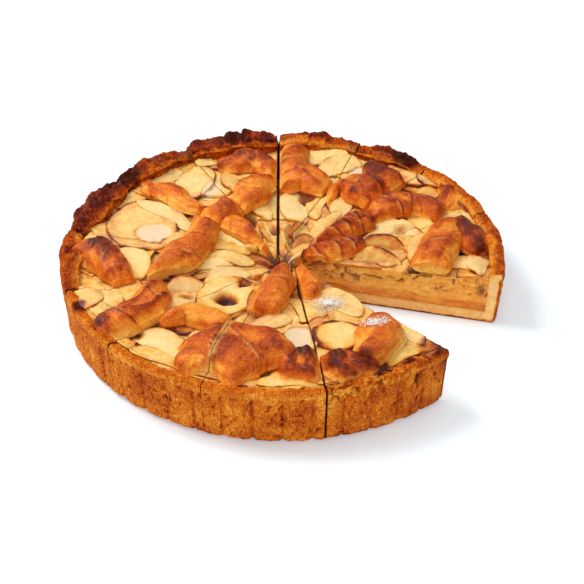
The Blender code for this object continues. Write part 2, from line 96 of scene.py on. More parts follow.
# Apple slices that show: kind, x, y, length, width, turn in degrees, lean of the far side, edge browning.
MOON, OVAL, EDGE = "moon", "oval", "edge"
APPLES = [
    # slice 1
    (MOON, 89, 2, 38, 15, 75, 0.05, 0.3), (MOON, 112, -12, 30, 22, -20, 0.04, 0.7),
    (MOON, 124, -20, 18, 14, 60, 0.1, 0.8), (EDGE, 64, 4, 36, 15, 5, 55, 1.0),
    (EDGE, 60, -8, 38, 14, -10, 50, 1.0), (MOON, 30, -6, 28, 10, 14, 0.1, 0.3),
    # slice 2
    (MOON, 92, 30, 26, 14, -60, 0.0, 0.4), (MOON, 100, 62, 30, 18, 60, 0.02, 0.5),
    (MOON, 72, 20, 38, 14, 6, 0.12, 0.4), (MOON, 70, 31, 38, 13, -14, 0.18, 0.5),
    (EDGE, 124, 54, 32, 10, 112, 60, 0.7), (EDGE, 118, 66, 24, 8, 118, 65, 0.6),
    (EDGE, 27, 13, 28, 9, 36, 60, 0.6),
    # slice 3
    (MOON, 52, 92, 22, 18, -30, 0.0, 0.2), (OVAL, 90, 90, 34, 26, -35, 0.05, 0.6),
    (MOON, 106, 84, 28, 20, 128, 0.05, 0.7), (MOON, 44, 56, 38, 15, 58, 0.05, 0.3),
    (MOON, 28, 34, 32, 10, 48, 0.15, 0.5),
    # slice 4
    (MOON, 32, 114, 38, 22, -15, 0.02, 0.5), (MOON, 40, 102, 36, 20, 20, 0.08, 0.6),
    (MOON, 24, 56, 30, 14, 76, 0.0, 0.2), (MOON, 9, 56, 38, 20, 100, 0.05, 0.3),
    (EDGE, 5, 26, 28, 9, 82, 65, 0.9), (EDGE, 12, 29, 24, 8, 68, 62, 0.9),
    # slice 5
    (MOON, -52, 112, 24, 14, 20, 0.0, 0.4), (OVAL, -50, 84, 42, 26, 118, 0.03, 0.6),
    (MOON, -34, 84, 34, 16, 112, 0.06, 0.4), (MOON, -14, 56, 28, 16, 105, 0.05, 0.5),
    (EDGE, -9, 32, 26, 9, 104, 55, 0.7),
    # slice 6
    (MOON, -86, 88, 34, 22, 35, 0.02, 0.4), (OVAL, -62, 80, 48, 25, 70, 0.06, 0.9),
    (MOON, -30, 42, 26, 10, 130, 0.1, 0.6),
    # slice 7
    (MOON, -120, 20, 30, 18, -50, 0.0, 0.3), (OVAL, -93, 28, 60, 46, 98, 0.02, 1.1),
    (MOON, -78, 42, 50, 14, -34, 0.15, 0.6), (MOON, -68, 13, 24, 13, 22, 0.08, 0.8),
    (MOON, -38, 9, 34, 11, -8, 0.1, 0.3), (MOON, -38, 18, 36, 11, -22, 0.2, 0.5),
    # slice 8
    (MOON, -98, -16, 38, 27, -68, 0.0, 0.2), (MOON, -118, 2, 28, 15, -15, 0.08, 0.5),
    (MOON, -46, -13, 28, 11, 16, 0.08, 0.4), (MOON, -34, -4, 32, 12, 6, 0.12, 0.4),
    # slice 9
    (MOON, -106, -72, 24, 14, -55, 0.0, 0.5), (MOON, -117, -56, 26, 18, -70, 0.02, 0.4),
    (MOON, -104, -58, 26, 17, -78, 0.08, 0.7), (MOON, -57, -50, 28, 13, 6, 0.05, 0.3),
    (EDGE, -60, -38, 32, 15, 12, 38, 0.9), (MOON, -35, -24, 34, 19, 38, 0.08, 0.5),
    # slice 10
    (MOON, -62, -58, 24, 10, 40, 0.0, 0.3), (OVAL, -34, -45, 46, 36, 62, 0.02, 0.9),
    (MOON, -70, -94, 42, 22, -38, 0.08, 0.7), (EDGE, -13, -46, 46, 10, 72, 62, 0.9),
    # slice 11
    (MOON, 9, -90, 32, 22, -82, 0.0, 0.1), (MOON, -8, -74, 28, 14, 15, 0.05, 0.5),
    (EDGE, -7, -30, 24, 9, 78, 65, 0.5), (EDGE, 3, -30, 22, 9, -84, 62, 0.5),
    # slice 12
    (MOON, 62, -100, 26, 14, 55, 0.0, 0.3), (MOON, 31, -54, 40, 22, -28, 0.04, 0.3),
    (OVAL, 33, -87, 34, 26, 190, -0.1, 1.5), (MOON, 70, -86, 30, 16, -38, 0.1, 0.6),
]

# Smooth pale core patches that show in some slices: x, y, half length, half width, turn.
CORES = [(-84, 20, 13, 11, 20), (-50, 72, 5, 11, -20), (9, -90, 12, 8, -82), (55, 94, 8, 6, -20)]

# Dough strips: name, slices they lie on, height, browning, twist, roughness, then x, y and half width
# along the middle, and the creases: share of the length, depth, slant.
STRIPS = [
    ("back_lobe", (5,), 12.0, 0.50, 0.2, 0.0, [(-12, 78, 8), (-21, 65, 10), (-31, 51, 8)],
     [(0.48, 1.2, 0.3), (0.60, 1.3, 0.35)]),
    ("left_upper", (6,), 12.0, 0.52, 0.2, 0.0, [(-33, 46, 8), (-42, 40, 9), (-52, 32, 8)],
     [(0.10, 1.0, -0.3)]),
    ("left_inner", (6,), 10.0, 0.55, 0.3, 0.0, [(-45, 31, 8), (-31, 27, 9.5), (-21, 18, 8), (-13, 8, 5)],
     [(0.30, 0.6, 0.5)]),
    ("left_long", (7, 8), 12.5, 0.42, 0.3, 0.0,
     [(-51, 27, 8), (-55, 10, 10), (-63, -7, 12), (-72, -20, 10), (-80, -32, 4)],
     [(0.27, 1.5, 0.4), (0.62, 0.5, 0.5)]),
    ("left_ridged", (6,), 9.0, 0.55, 1.0, 0.0, [(-93, 71, 7), (-80, 65, 10), (-68, 55, 9), (-57, 47, 6)], []),
    ("back_rim", (5,), 10.0, 0.50, 0.2, 0.5, [(-40, 104, 8), (-24, 108, 10), (-13, 104, 8)],
     [(0.45, 0.9, 0.4)]),
    ("back_cut", (5,), 9.0, 0.45, 0.2, 0.4, [(-10, 104, 6), (-9, 84, 6)], []),
    ("left_rim", (8,), 12.0, 0.60, 0.4, 0.35,
     [(-126, -5, 9), (-117, -12, 11), (-106, -23, 10), (-98, -35, 7)], [(0.30, 1.6, 0.5), (0.55, 0.8, 0.4)]),
    ("front_left", (9,), 13.0, 0.64, 0.4, 0.0,
     [(-76, -46, 8), (-79, -57, 12), (-84, -69, 13), (-91, -79, 11), (-102, -84, 7)],
     [(0.30, 1.0, -0.5), (0.72, 1.6, 0.4)]),
    ("front_inner", (10,), 11.0, 0.45, 0.3, 0.0,
     [(-68, -72, 6), (-57, -67, 9), (-45, -71, 10), (-34, -78, 7)], [(0.35, 0.8, 0.3)]),
    ("front_leaf", (10, 11), 14.0, 0.56, 0.5, 0.0,
     [(-52, -117, 8), (-43, -109, 19), (-28, -105, 22), (-12, -104, 18), (1, -107, 8)],
     [(0.36, 1.8, -0.5), (0.60, 0.8, 0.6)]),
    ("front_long", (11,), 13.0, 0.40, 0.2, 0.0, [(-1, -20, 6), (-3, -35, 9), (-7, -50, 9), (-10, -61, 7)],
     [(0.5, 0.5, 0.3)]),
    ("front_tip", (12,), 10.0, 0.55, 0.2, 0.0, [(11, -19, 4), (15, -32, 8), (18, -44, 6)], []),
    ("front_rim", (11,), 12.0, 0.72, 0.4, 1.0, [(4, -117, 8), (12, -118, 10), (20, -118, 8)], []),
    ("front_dark", (12,), 11.0, 0.76, 0.4, 1.0, [(27, -118, 9), (36, -118, 9), (47, -116, 8)], []),
    ("front_sugar", (12,), 13.0, 0.38, 0.1, 0.0, [(58, -82, 9), (54, -95, 11), (48, -107, 9)], []),
    ("right_rim", (1,), 11.0, 0.68, 0.3, 0.5, [(118, 24, 8), (122, 12, 10), (124, 0, 8)], []),
    ("right_long", (1,), 13.0, 0.42, 0.8, 0.0, [(110, 22, 9), (105, 9, 11), (98, -8, 12), (91, -25, 10)],
     [(0.40, 1.6, 0.5), (0.60, 1.2, 0.5)]),
    ("right_arch", (2,), 12.0, 0.60, 0.4, 0.0, [(62, 40, 7), (74, 48, 10), (88, 50, 11), (101, 42, 8)],
     [(0.38, 1.2, 0.4), (0.62, 0.9, 0.5)]),
    ("right_thin", (2,), 8.0, 0.62, 0.5, 0.5, [(113, 74, 5), (116, 62, 6), (116, 50, 6)], [(0.5, 0.8, 0.4)]),
    ("back_round", (3,), 13.0, 0.92, 0.1, 0.0, [(65, 91, 10), (73, 83, 12), (79, 75, 9)], []),
    ("back_dark", (3,), 12.0, 0.58, 0.2, 0.0, [(48, 77, 9), (56, 66, 13), (61, 56, 9)], [(0.40, 0.7, 0.3)]),
    ("back_bent", (4,), 11.0, 0.50, 0.4, 0.0, [(4, 80, 9), (17, 84, 11), (29, 74, 9)], [(0.45, 1.4, 0.4)]),
    ("back_flake", (3,), 8.0, 0.40, 0.2, 0.0, [(38, 78, 4), (33, 62, 4)], []),
    ("back_wide", (4,), 12.0, 0.62, 0.3, 0.0, [(9, 122, 9), (7, 106, 10), (6, 90, 8)],
     [(0.35, 1.2, 0.5), (0.62, 1.0, 0.4)]),
    ("right_upper", (2,), 11.0, 0.66, 1.0, 0.0, [(27, 17, 7), (40, 26, 9), (55, 29, 7)],
     [(0.28, 1.3, 0.6), (0.48, 1.3, 0.6), (0.68, 1.1, 0.6)]),
    ("right_lower", (1,), 12.0, 0.74, 0.9, 0.0, [(18, -2, 6), (31, 0, 9), (46, 5, 8)],
     [(0.30, 1.2, 0.6), (0.52, 1.2, 0.6), (0.74, 1.0, 0.6)]),
]


def srgb(red, green, blue):
    """Linear colour of a screen colour from 0 to 255."""
    out = []
    for value in (red, green, blue):
        c = value / 255.0
        out.append(c / 12.92 if c <= 0.04045 else ((c + 0.055) / 1.055) ** 2.4)
    return (*out, 1.0)


def smooth(value, low, high):
    """0 below low, 1 above high, with a smooth change between them."""
    t = np.clip((value - low) / (high - low), 0.0, 1.0)
    return t * t * (3.0 - 2.0 * t)


def fall(value, low, high):
    """1 below low, 0 above high, with a smooth change between them."""
    return 1.0 - smooth(value, low, high)


def unit(value):
    """The value, kept from 0 to 1."""
    return np.clip(value, 0.0, 1.0)


def bell(value, width):
    """1 where the value is 0, and less the further it is from that."""
    return np.exp(-(value / width) ** 2)


def paint(brown, pale=0.0, dark=0.0, wet=0.0):
    """Tones of each point: how brown, pale, dark and wet it is."""
    return unit(np.stack(np.broadcast_arrays(brown, pale, dark, wet), -1))


def lattice(ix, iy, iz, seed):
    """A random value from -1 to 1 for each corner of a grid of cubes."""
    n = (ix * 374761393 + iy * 668265263 + iz * 1274126177 + seed * 974634777) & 0xFFFFFFFF
    n = ((n ^ (n >> 13)) * 1103515245) & 0xFFFFFFFF
    n = n ^ (n >> 16)
    return (n & 0xFFFF) / 32767.5 - 1.0


def noise(points, size, seed):
    """Smooth noise from -1 to 1 at each point, with bumps of the given size."""
    q = points / size + 1000.0
    cell = np.floor(q).astype(np.int64)
    f = q - cell
    f = f * f * (3.0 - 2.0 * f)
    total = 0.0
    for dx in (0, 1):
        wx = f[..., 0] if dx else 1.0 - f[..., 0]
        for dy in (0, 1):
            wy = f[..., 1] if dy else 1.0 - f[..., 1]
            for dz in (0, 1):
                wz = f[..., 2] if dz else 1.0 - f[..., 2]
                total = total + wx * wy * wz * lattice(
                    cell[..., 0] + dx, cell[..., 1] + dy, cell[..., 2] + dz, seed)
    return total


def patches(points, size, seed, low, high):
    """1 where the noise is high, 0 where it is low, with a smooth change between them."""
    return smooth(noise(points, size, seed), low, high)


def fractal(points, size, seed, octaves=3):
    """Noise with finer bumps added to it, each half as large and half as strong as the last."""
    total = 0.0
    share = 1.0
    for k in range(octaves):
        total = total + share * noise(points, size / 2 ** k, seed + 17 * k)
        share *= 0.5
    return total / (2.0 - 2.0 * 0.5 ** octaves)


def heap_height(x, y):
    """Mean height of the apples, which sink towards the middle."""
    return np.interp(np.hypot(x, y), [0, 15, 35, 60, 90, 132], [25.5, 28.0, 31.0, 33.3, 34.5, 35.5])


def cut_angle(index, radius):
    """Angle in radians at which a cut crosses each radius."""
    rim_angle, near, _ = CUTS[index]
    q = np.array(near, float)
    a = math.radians(rim_angle)
    p = OUTER_RADIUS * np.array([math.cos(a), math.sin(a)])
    d = p - q
    radius = np.asarray(radius, float)
    half_b = q @ d
    c = q @ q - radius ** 2
    t = (-half_b + np.sqrt(np.maximum(half_b ** 2 - (d @ d) * c, 0.0))) / (d @ d)
    t = np.maximum(t, 0.0)
    return np.arctan2(q[1] + t * d[1], q[0] + t * d[0])


def slice_angle(index, radius, share, kerf=1.0):
    """Angle in radians at this share of the way across a slice, from its first cut to its second."""
    radius = np.maximum(radius, 2.0)
    start = cut_angle(index, radius) + kerf * CUTS[index][2] / 2.0 / radius
    end = cut_angle(index + 1, radius) - kerf * CUTS[index + 1][2] / 2.0 / radius
    end = start + (end - start) % math.tau
    return start + (end - start) * share


def side_line(index):
    """A point on a cut and the unit vector to its left."""
    rim_angle, near, _ = CUTS[index]
    a = math.radians(rim_angle)
    d = np.array([OUTER_RADIUS * math.cos(a) - near[0], OUTER_RADIUS * math.sin(a) - near[1]])
    d /= np.hypot(*d)
    return np.array(near, float), np.array([-d[1], d[0]])


def rim_shape(angle):
    """Height, thickness and browning of the rim at each angle in degrees."""
    start = CUTS[0][0]
    turned = (angle - start) % 360.0 + start
    top = np.full(turned.shape, 38.0)
    thick = np.full(turned.shape, WALL)
    dark = np.full(turned.shape, 0.4)
    for i, (middle, at_cut, depth, tone) in enumerate(RIMS):
        low, high = CUTS[i][0], CUTS[i + 1][0]
        here = (turned >= low) & (turned <= high)
        share = unit((turned - low) / (high - low))
        bulge = 1.0 - np.abs(2.0 * share - 1.0) ** 2.2
        ripple = 0.5 * np.sin(np.radians(turned) * 23.0) + 0.35 * np.sin(np.radians(turned) * 37.0 + 1.0)
        top = np.where(here, at_cut + (middle - at_cut) * bulge + ripple * bulge, top)
        thick = np.where(here, WALL + (depth - WALL) * bulge, thick)
        dark = np.where(here, tone, dark)
    for centre, half, deeper, higher in LOBES:
        away = np.abs((turned - centre + 180.0) % 360.0 - 180.0)
        swell = fall(away, 0.3 * half, 1.2 * half)
        thick = thick + deeper * swell
        top = top + higher * swell * 0.6
        dark = dark + 0.08 * swell
    return top, thick, dark


def flute_depth(angle):
    """How far the wall lies inside the outer radius: narrow grooves between wide shallow bulges."""
    share = (angle / 360.0 * FLUTES) % 1.0
    away = np.minimum(share, 1.0 - share) * FLUTE_PITCH
    return 1.25 * bell(away, 1.0) + 0.55 * (1.0 - np.minimum(away / (FLUTE_PITCH / 2), 1.0)) ** 2


def normals(points):
    """Unit normals of a grid of points."""
    du = np.gradient(points, axis=0)
    dv = np.gradient(points, axis=1)
    n = np.cross(du, dv)
    return n / np.maximum(np.linalg.norm(n, axis=-1, keepdims=True), 1e-9)


class Shape:
    """Grids and loose faces gathered into one mesh, with a tone for each point."""

    def __init__(self):
        self.points = []
        self.tones = []
        self.faces = []
        self.slots = []
        self.count = 0

    def add(self, points, tones, faces, slots):
        self.points.append(points.reshape(-1, 3))
        self.tones.append(tones.reshape(-1, 4))
        self.faces += [tuple(k + self.count for k in face) for face in faces]
        self.slots += slots
        self.count += len(self.points[-1])

    def grid(self, points, tones, flip=False, slot=0):
        faces = grid_faces(*points.shape[:2], flip=flip)
        self.add(points, tones, faces, [slot] * len(faces))

    def build(self, node, materials, record_slot):
        """Make the mesh that takes the place of a node."""
        name = "look_" + node
        mesh = bpy.data.meshes.new(name)
        points = np.concatenate(self.points) * MM
        mesh.from_pydata(points.tolist(), [], self.faces)
        layer = mesh.attributes.new("tone", "FLOAT_COLOR", "POINT")
        layer.data.foreach_set("color", np.concatenate(self.tones).astype(np.float32).ravel())
        for material in materials:
            mesh.materials.append(material)
        mesh.polygons.foreach_set("material_index", self.slots)
        mesh.polygons.foreach_set("use_smooth", [slot != CAP for slot in self.slots])
        mesh.update()
        obj = bpy.data.objects.new(name, mesh)
        bpy.context.scene.collection.objects.link(obj)
        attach(obj, "root")
        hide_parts(node)


def grid_faces(rows, columns, wrap=False, flip=False):
    """Faces between the points of a grid."""
    last = columns if wrap else columns - 1
    i, j = np.meshgrid(np.arange(rows - 1), np.arange(last), indexing="ij")
    n = (j + 1) % columns
    quads = np.stack([i * columns + j, (i + 1) * columns + j, (i + 1) * columns + n, i * columns + n], -1)
    quads = quads.reshape(-1, 4)
    if flip:
        quads = quads[:, ::-1]
    return [tuple(q) for q in quads.tolist()]


def cut_shape(points, tones, faces, index):
    """The part of a closed mesh that lies in one slice, with its cut sides capped in the second material."""
    work = bmesh.new()
    layer = work.verts.layers.float_color.new("tone")
    made = []
    for p, t in zip(points.reshape(-1, 3), tones.reshape(-1, 4)):
        vertex = work.verts.new(p)
        vertex[layer] = t
        made.append(vertex)
    for face in faces:
        work.faces.new([made[k] for k in face])
    for number, sign in ((index, 1.0), (index + 1, -1.0)):
        q, left = side_line(number)
        inward = left * sign
        at = q + inward * CUTS[number][2] / 2.0
        geom = work.verts[:] + work.edges[:] + work.faces[:]
        bmesh.ops.bisect_plane(work, geom=geom, dist=0.001, plane_co=(at[0], at[1], 0.0),
                               plane_no=(inward[0], inward[1], 0.0), clear_inner=True)
        edges = [e for e in work.edges if e.is_boundary]
        if edges:
            for face in bmesh.ops.holes_fill(work, edges=edges, sides=0)["faces"]:
                face.material_index = CAP
    bmesh.ops.triangulate(work, faces=[f for f in work.faces if len(f.verts) > 4])
    work.verts.index_update()
    made = (
        np.array([v.co[:] for v in work.verts]).reshape(-1, 3),
        np.array([v[layer][:] for v in work.verts]).reshape(-1, 4),
        [tuple(v.index for v in f.verts) for f in work.faces], [f.material_index for f in work.faces])
    work.free()
    return made


def within(points, index):
    """Which points lie in a slice."""
    flat = points.reshape(-1, 3)[:, :2]
    q, left = side_line(index)
    start = (flat - q) @ left
    q, left = side_line(index + 1)
    end = (q - flat) @ left
    return (start >= CUTS[index][2] / 2.0) & (end >= CUTS[index + 1][2] / 2.0)


def share_out(shapes, points, tones, faces):
    """Add a closed mesh to the slices it lies in, cut where it crosses from one to the next."""
    for index, shape in enumerate(shapes):
        inside = within(points, index)
        if inside.all():
            shape.add(points, tones, faces, [0] * len(faces))
        elif inside.sum() > 3:
            shape.add(*cut_shape(points, tones, faces, index))


def blob_faces(rows, columns):
    """Faces of a closed form made of rings, with both ends capped."""
    faces = grid_faces(rows, columns, wrap=True)
    faces.append(tuple(range(columns)))
    faces.append(tuple(reversed(range((rows - 1) * columns, rows * columns))))
    return faces


# Materials

class Graph:
    """A short way to wire a material's nodes."""

    def __init__(self, name):
        self.material = bpy.data.materials.new(name)
        self.material.use_nodes = True
        self.tree = self.material.node_tree
        self.shader = self.tree.nodes["Principled BSDF"]
        attribute = self.node("ShaderNodeAttribute", attribute_name="tone")
        parts = self.node("ShaderNodeSeparateColor", {"Color": attribute.outputs["Color"]})
        self.brown, self.pale, self.dark = parts.outputs[0], parts.outputs[1], parts.outputs[2]
        self.wet = attribute.outputs["Alpha"]
        self.place = self.node("ShaderNodeTexCoord").outputs["Object"]

    def node(self, kind, inputs=None, **settings):
        made = self.tree.nodes.new(kind)
        for key, value in settings.items():
            setattr(made, key, value)
        for key, value in (inputs or {}).items():
            self.put(made.inputs[key], value)
        return made

    def put(self, socket, value):
        if isinstance(value, bpy.types.NodeSocket):
            self.tree.links.new(value, socket)
        else:
            socket.default_value = value

    def math(self, operation, a, b, clamp=False):
        return self.node("ShaderNodeMath", {0: a, 1: b}, operation=operation, use_clamp=clamp).outputs[0]

    def times(self, a, b):
        return self.math("MULTIPLY", a, b)

    def noise(self, size, detail=3.0, rough=0.55, upright=1.0):
        """Noise from about 0.2 to 0.8, with features of this size that upright below 1 makes taller."""
        place = self.place
        if upright != 1.0:
            mapping = self.node("ShaderNodeMapping", {"Vector": place, "Scale": (1.0, 1.0, upright)})
            place = mapping.outputs["Vector"]
        return self.node("ShaderNodeTexNoise", {
            "Vector": place, "Scale": 1.0 / (size * MM), "Detail": detail, "Roughness": rough}).outputs["Fac"]

    def cells(self, size):
        return self.node("ShaderNodeTexVoronoi", {
            "Vector": self.place, "Scale": 1.0 / (size * MM), "Randomness": 1.0}).outputs["Distance"]

    def ramp(self, value, stops):
        made = self.node("ShaderNodeValToRGB", {"Fac": value})
        band = made.color_ramp
        for k, (where, colour) in enumerate(stops):
            stop = band.elements[k] if k < 2 else band.elements.new(where)
            stop.position = where
            stop.color = colour
        return made.outputs["Color"]

    def span(self, value, low, high):
        return self.node("ShaderNodeMapRange", {
            "Value": value, "From Min": low, "From Max": high}, interpolation_type="SMOOTHSTEP").outputs[0]

    def mix(self, share, a, b):
        """The first colour where the share is 0, the second where it is 1."""
        made = self.node("ShaderNodeMix", data_type="RGBA")
        for key, value in (("Factor", share), (6, a), (7, b)):
            self.put(made.inputs[key], value)
        return made.outputs[2]

    def bump(self, height, depth, strength, after=None):
        inputs = {"Height": height, "Distance": depth * MM, "Strength": strength}
        if after:
            inputs["Normal"] = after
        return self.node("ShaderNodeBump", inputs).outputs["Normal"]

    def finish(self, colour, rough, normal, **values):
        for key, value in dict(values, Base_Color=colour, Roughness=rough, Normal=normal).items():
            self.put(self.shader.inputs[key.replace("_", " ")], value)
        return self.material


# Tint of the gloss on baked dough, so that its dark parts stay red brown.
WARM = (1.0, 0.74, 0.50, 1.0)


def baked(name, noises, stops, dark, bumps, rough, pale=None, specks=None, patchy=False, burn_and_shade=0.0, **looks):
    """Material of a baked food.

    The noises (gain, size and more) change how brown it is, and the stops give its colours, pale to burnt.
    Dark is a share, a power and a colour. Bumps are a depth and a strength each. Rough is the roughness where
    it is dry, and how much less it is where it is wet. Specks are a size, two limits, a share and a colour.
    """
    g = Graph(name)
    level, grain = g.brown, []
    for gain, *kind in noises:
        grain.append(g.noise(*kind))
        level = g.math("ADD", level, g.times(g.math("SUBTRACT", grain[-1], 0.5), gain))
    level = g.math("ADD", level, g.times(g.dark, burn_and_shade), clamp=True)
    colour = g.ramp(level, [(where, srgb(*shade)) for where, *shade in stops])
    if pale:
        colour = g.mix(g.pale, colour, srgb(*pale))
    if specks:
        size, low, high, share, shade = specks
        spots = g.math("SUBTRACT", 1.0, g.span(g.cells(size), low, high))
        if patchy:
            spots = g.times(spots, g.span(g.noise(3.0, 2.0), 0.42, 0.60))
        colour = g.mix(g.times(spots, share), colour, srgb(*shade))
    share, power, shade = dark
    colour = g.mix(g.times(g.math("POWER", g.dark, power), share), colour, srgb(*shade))
    normal = None
    for height, (depth, strength) in zip(grain[-2:], bumps):
        normal = g.bump(height, depth, strength, normal)
    dry, gloss = rough
    roughness = g.math("SUBTRACT", dry, g.times(g.wet, gloss)) if gloss else dry
    return g.finish(colour, roughness, normal, **looks)


def sugar_material():
    g = Graph("icing_sugar")
    normal = g.bump(g.noise(0.5, 2.0), 0.3, 0.6)
    colour = g.mix(g.noise(1.2, 2.0), srgb(255, 252, 246), srgb(240, 232, 224))
    return g.finish(colour, 0.8, normal, Subsurface_Weight=0.3, Subsurface_Radius=(0.001, 0.001, 0.001),
                    Subsurface_Scale=0.5)


CRUST = baked(
    "baked_crust", [(0.50, 14.0, 3.0), (0.85, 2.2, 4.0, 0.65, 0.6), (1.35, 0.8, 3.0, 0.65, 0.7)],
    [(0.0, 244, 172, 66), (1.0, 74, 10, 4), (0.22, 226, 130, 28), (0.42, 202, 96, 12), (0.62, 164, 62, 8),
     (0.8, 122, 30, 7)],
    (0.7, 1.0, (62, 12, 4)), [(1.0, 0.8), (0.6, 1.0)], (0.84, 0.50), pale=(246, 190, 92),
    specks=(1.7, 0.12, 0.30, 0.75, (104, 34, 4)), patchy=True, burn_and_shade=0.55,
    Specular_IOR_Level=0.2, Specular_Tint=WARM)
CRUMB = baked(
    "cut_crumb", [(0.5, 2.4, 4.0, 0.6), (0.35, 0.7, 3.0, 0.6)],
    [(0.0, 255, 214, 142), (1.0, 92, 30, 6), (0.3, 252, 186, 100), (0.6, 224, 132, 46), (0.8, 160, 74, 16)],
    (1.0, 1.0, (60, 18, 6)), [(0.8, 0.7), (0.4, 0.7)], (0.7, 0.0),
    specks=(1.5, 0.16, 0.34, 0.35, (176, 100, 34)), Specular_IOR_Level=0.25, Subsurface_Weight=0.1,
    Subsurface_Radius=(0.003, 0.002, 0.0008), Subsurface_Scale=0.5)
APPLE = baked(
    "baked_apple", [(0.62, 16.0, 3.0), (0.50, 4.0, 3.0), (0.42, 0.8, 2.0)],
    [(0.0, 244, 212, 140), (1.0, 96, 24, 4), (0.18, 242, 200, 114), (0.34, 236, 178, 74),
     (0.52, 218, 130, 34), (0.76, 160, 66, 12)],
    (1.0, 2.0, (50, 12, 4)), [(0.7, 0.35), (0.35, 0.5)], (0.56, 0.28), pale=(240, 210, 172),
    specks=(3.0, 0.05, 0.14, 0.45, (190, 112, 36)), burn_and_shade=0.7,
    Specular_IOR_Level=0.34, Subsurface_Weight=0.25, Subsurface_Radius=(0.006, 0.0035, 0.0012),
    Subsurface_Scale=0.6)
# Apple and juice where the knife went through.
FLESH = baked(
    "cut_apple", [(0.5, 9.0, 3.0), (0.45, 2.4, 3.0), (0.25, 0.7, 2.0)],
    [(0.0, 252, 204, 104), (1.0, 100, 36, 2), (0.22, 246, 170, 54), (0.45, 228, 128, 20), (0.72, 176, 82, 6)],
    (1.0, 1.0, (104, 36, 4)), [(0.8, 0.5), (0.3, 0.5)], (0.42, 0.0), pale=(252, 208, 112),
    Specular_IOR_Level=0.3, Subsurface_Weight=0.2, Subsurface_Radius=(0.006, 0.003, 0.001),
    Subsurface_Scale=0.6)
DOUGH = baked(
    "baked_dough", [(0.50, 11.0, 3.0), (0.50, 3.4, 4.0), (0.85, 0.8, 3.0, 0.6)],
    [(0.0, 252, 200, 96), (1.0, 80, 14, 5), (0.2, 248, 166, 56), (0.4, 232, 126, 30), (0.58, 206, 88, 16),
     (0.78, 152, 48, 9)],
    (0.6, 1.0, (62, 12, 6)), [(0.9, 0.6), (0.5, 1.0)], (0.50, 0.16), pale=(248, 200, 104),
    specks=(2.2, 0.06, 0.16, 0.6, (128, 42, 8)), burn_and_shade=0.65,
    Specular_IOR_Level=0.32, Specular_Tint=WARM, Coat_Weight=0.08, Coat_Roughness=0.16)
SUGAR = sugar_material()


# Crust

RIM_ROUND = 4.6
FOOT_ROUND = 3.0
# Row of the rim that is its highest.
RIM_MIDDLE = 13
# How far a craggy rim bulges inwards over the apples.
RIM_LIP = 3.4
CRUST_COLUMNS = 92
# Slices with the widest gaps beside them have a few columns more.
BESIDE_GAPS, MORE_COLUMNS = (4, 11), 4
# Lengths of the section's floor and wall, and the mesh's step on cuts that show or are hidden.
FLOOR_LINE, WALL_LINE = 130, 44
OPEN_STEP, HIDDEN_STEP = 0.75, 2.4
UNDER, FOOT, OUTSIDE, RIM, INSIDE, INNER_FLOOR = range(6)
ROWS_OF_PART = ((UNDER, 14), (FOOT, 5), (OUTSIDE, 42), (RIM, 26), (INSIDE, 16), (INNER_FLOOR, 5))
# The one cut whose gap shows down the whole wall: the others close below the rim.
OPEN_TO_BASE = 11


def section_rows():
    """Part and share along it for each row of the crust's section, round from the middle of its base."""
    rows = []
    for part, count in ROWS_OF_PART:
        rows += [(part, (k + (part == RIM) * 0.5) / count) for k in range(count)]
    rows.append((INNER_FLOOR, 1.0))
    return np.array([r[0] for r in rows]), np.array([r[1] for r in rows])


PARTS, SHARES = section_rows()
# Which rows lie in each part, apart from the inner floor.
KINDS = [PARTS == kind for kind in range(INNER_FLOOR)]


def roll_share(t, crag):
    """Height of the rim across its width: a roll where it is craggy, else an edge that slopes inwards."""
    turn = np.pi * unit(t)
    slope = np.where(t < 0.3, np.sin(np.minimum(turn / 0.6, np.pi / 2)) ** 0.7,
                     unit(np.cos(np.maximum(turn - 0.3 * np.pi, 0.0) / 1.4)) ** 1.1)
    return crag * np.sin(turn) ** 0.8 + (1.0 - crag) * slope


def crust_section(index, across, top, thick, crag):
    """Radius, height and angle of each point of the crust in one slice, with its knife gap and its flutes."""
    under, foot, outside, on_rim, inside = KINDS
    t = np.broadcast_to(SHARES, (len(across), len(SHARES)))
    out = np.full(t.shape, OUTER_RADIUS)
    inner = out - thick
    low = top - RIM_ROUND
    turn = np.pi * t
    radius = np.select(KINDS, [
        1.0 + t * (out - FOOT_ROUND - 1.0), out - FOOT_ROUND + FOOT_ROUND * np.sin(turn / 2.0), out,
        out - thick / 2.0 + thick / 2.0 * np.cos(turn), inner], inner + t * (1.0 - inner))
    z = np.select(KINDS, [
        0.0 * t, FOOT_ROUND - FOOT_ROUND * np.cos(turn / 2.0), FOOT_ROUND + t * (low - FOOT_ROUND),
        low + RIM_ROUND * roll_share(t, crag), low + t * (FLOOR - low)], FLOOR)
    radius = radius - RIM_LIP * crag * np.where(on_rim, smooth(t, 0.4, 1.0), inside * smooth(z, 28.0, 34.0))
    # the knife's gap closes towards the base, and under the rim where it is widest
    shut = [float(number != OPEN_TO_BASE) for number in (index, index + 1)]
    share = (1.0 - across) * shut[0] + across * shut[1]
    kerf = np.where(outside | on_rim | inside, 1.0, 0.12 * (1.0 - share))
    kerf = np.where(outside, 1.0 - share * fall(z, top - 9.0, top - 4.0), kerf)
    angle = slice_angle(index, radius, across, kerf)
    groove = flute_depth(np.degrees(angle))
    fade = (foot | outside | on_rim) * fall(z, top - 8.0, top - 2.0)
    edge = np.where(foot | outside, 1.0, under * t)
    radius = radius - groove * fade - 1.1 * edge * (1.0 - unit(z / 34.0))
    return radius, z, angle, kerf, groove, fade


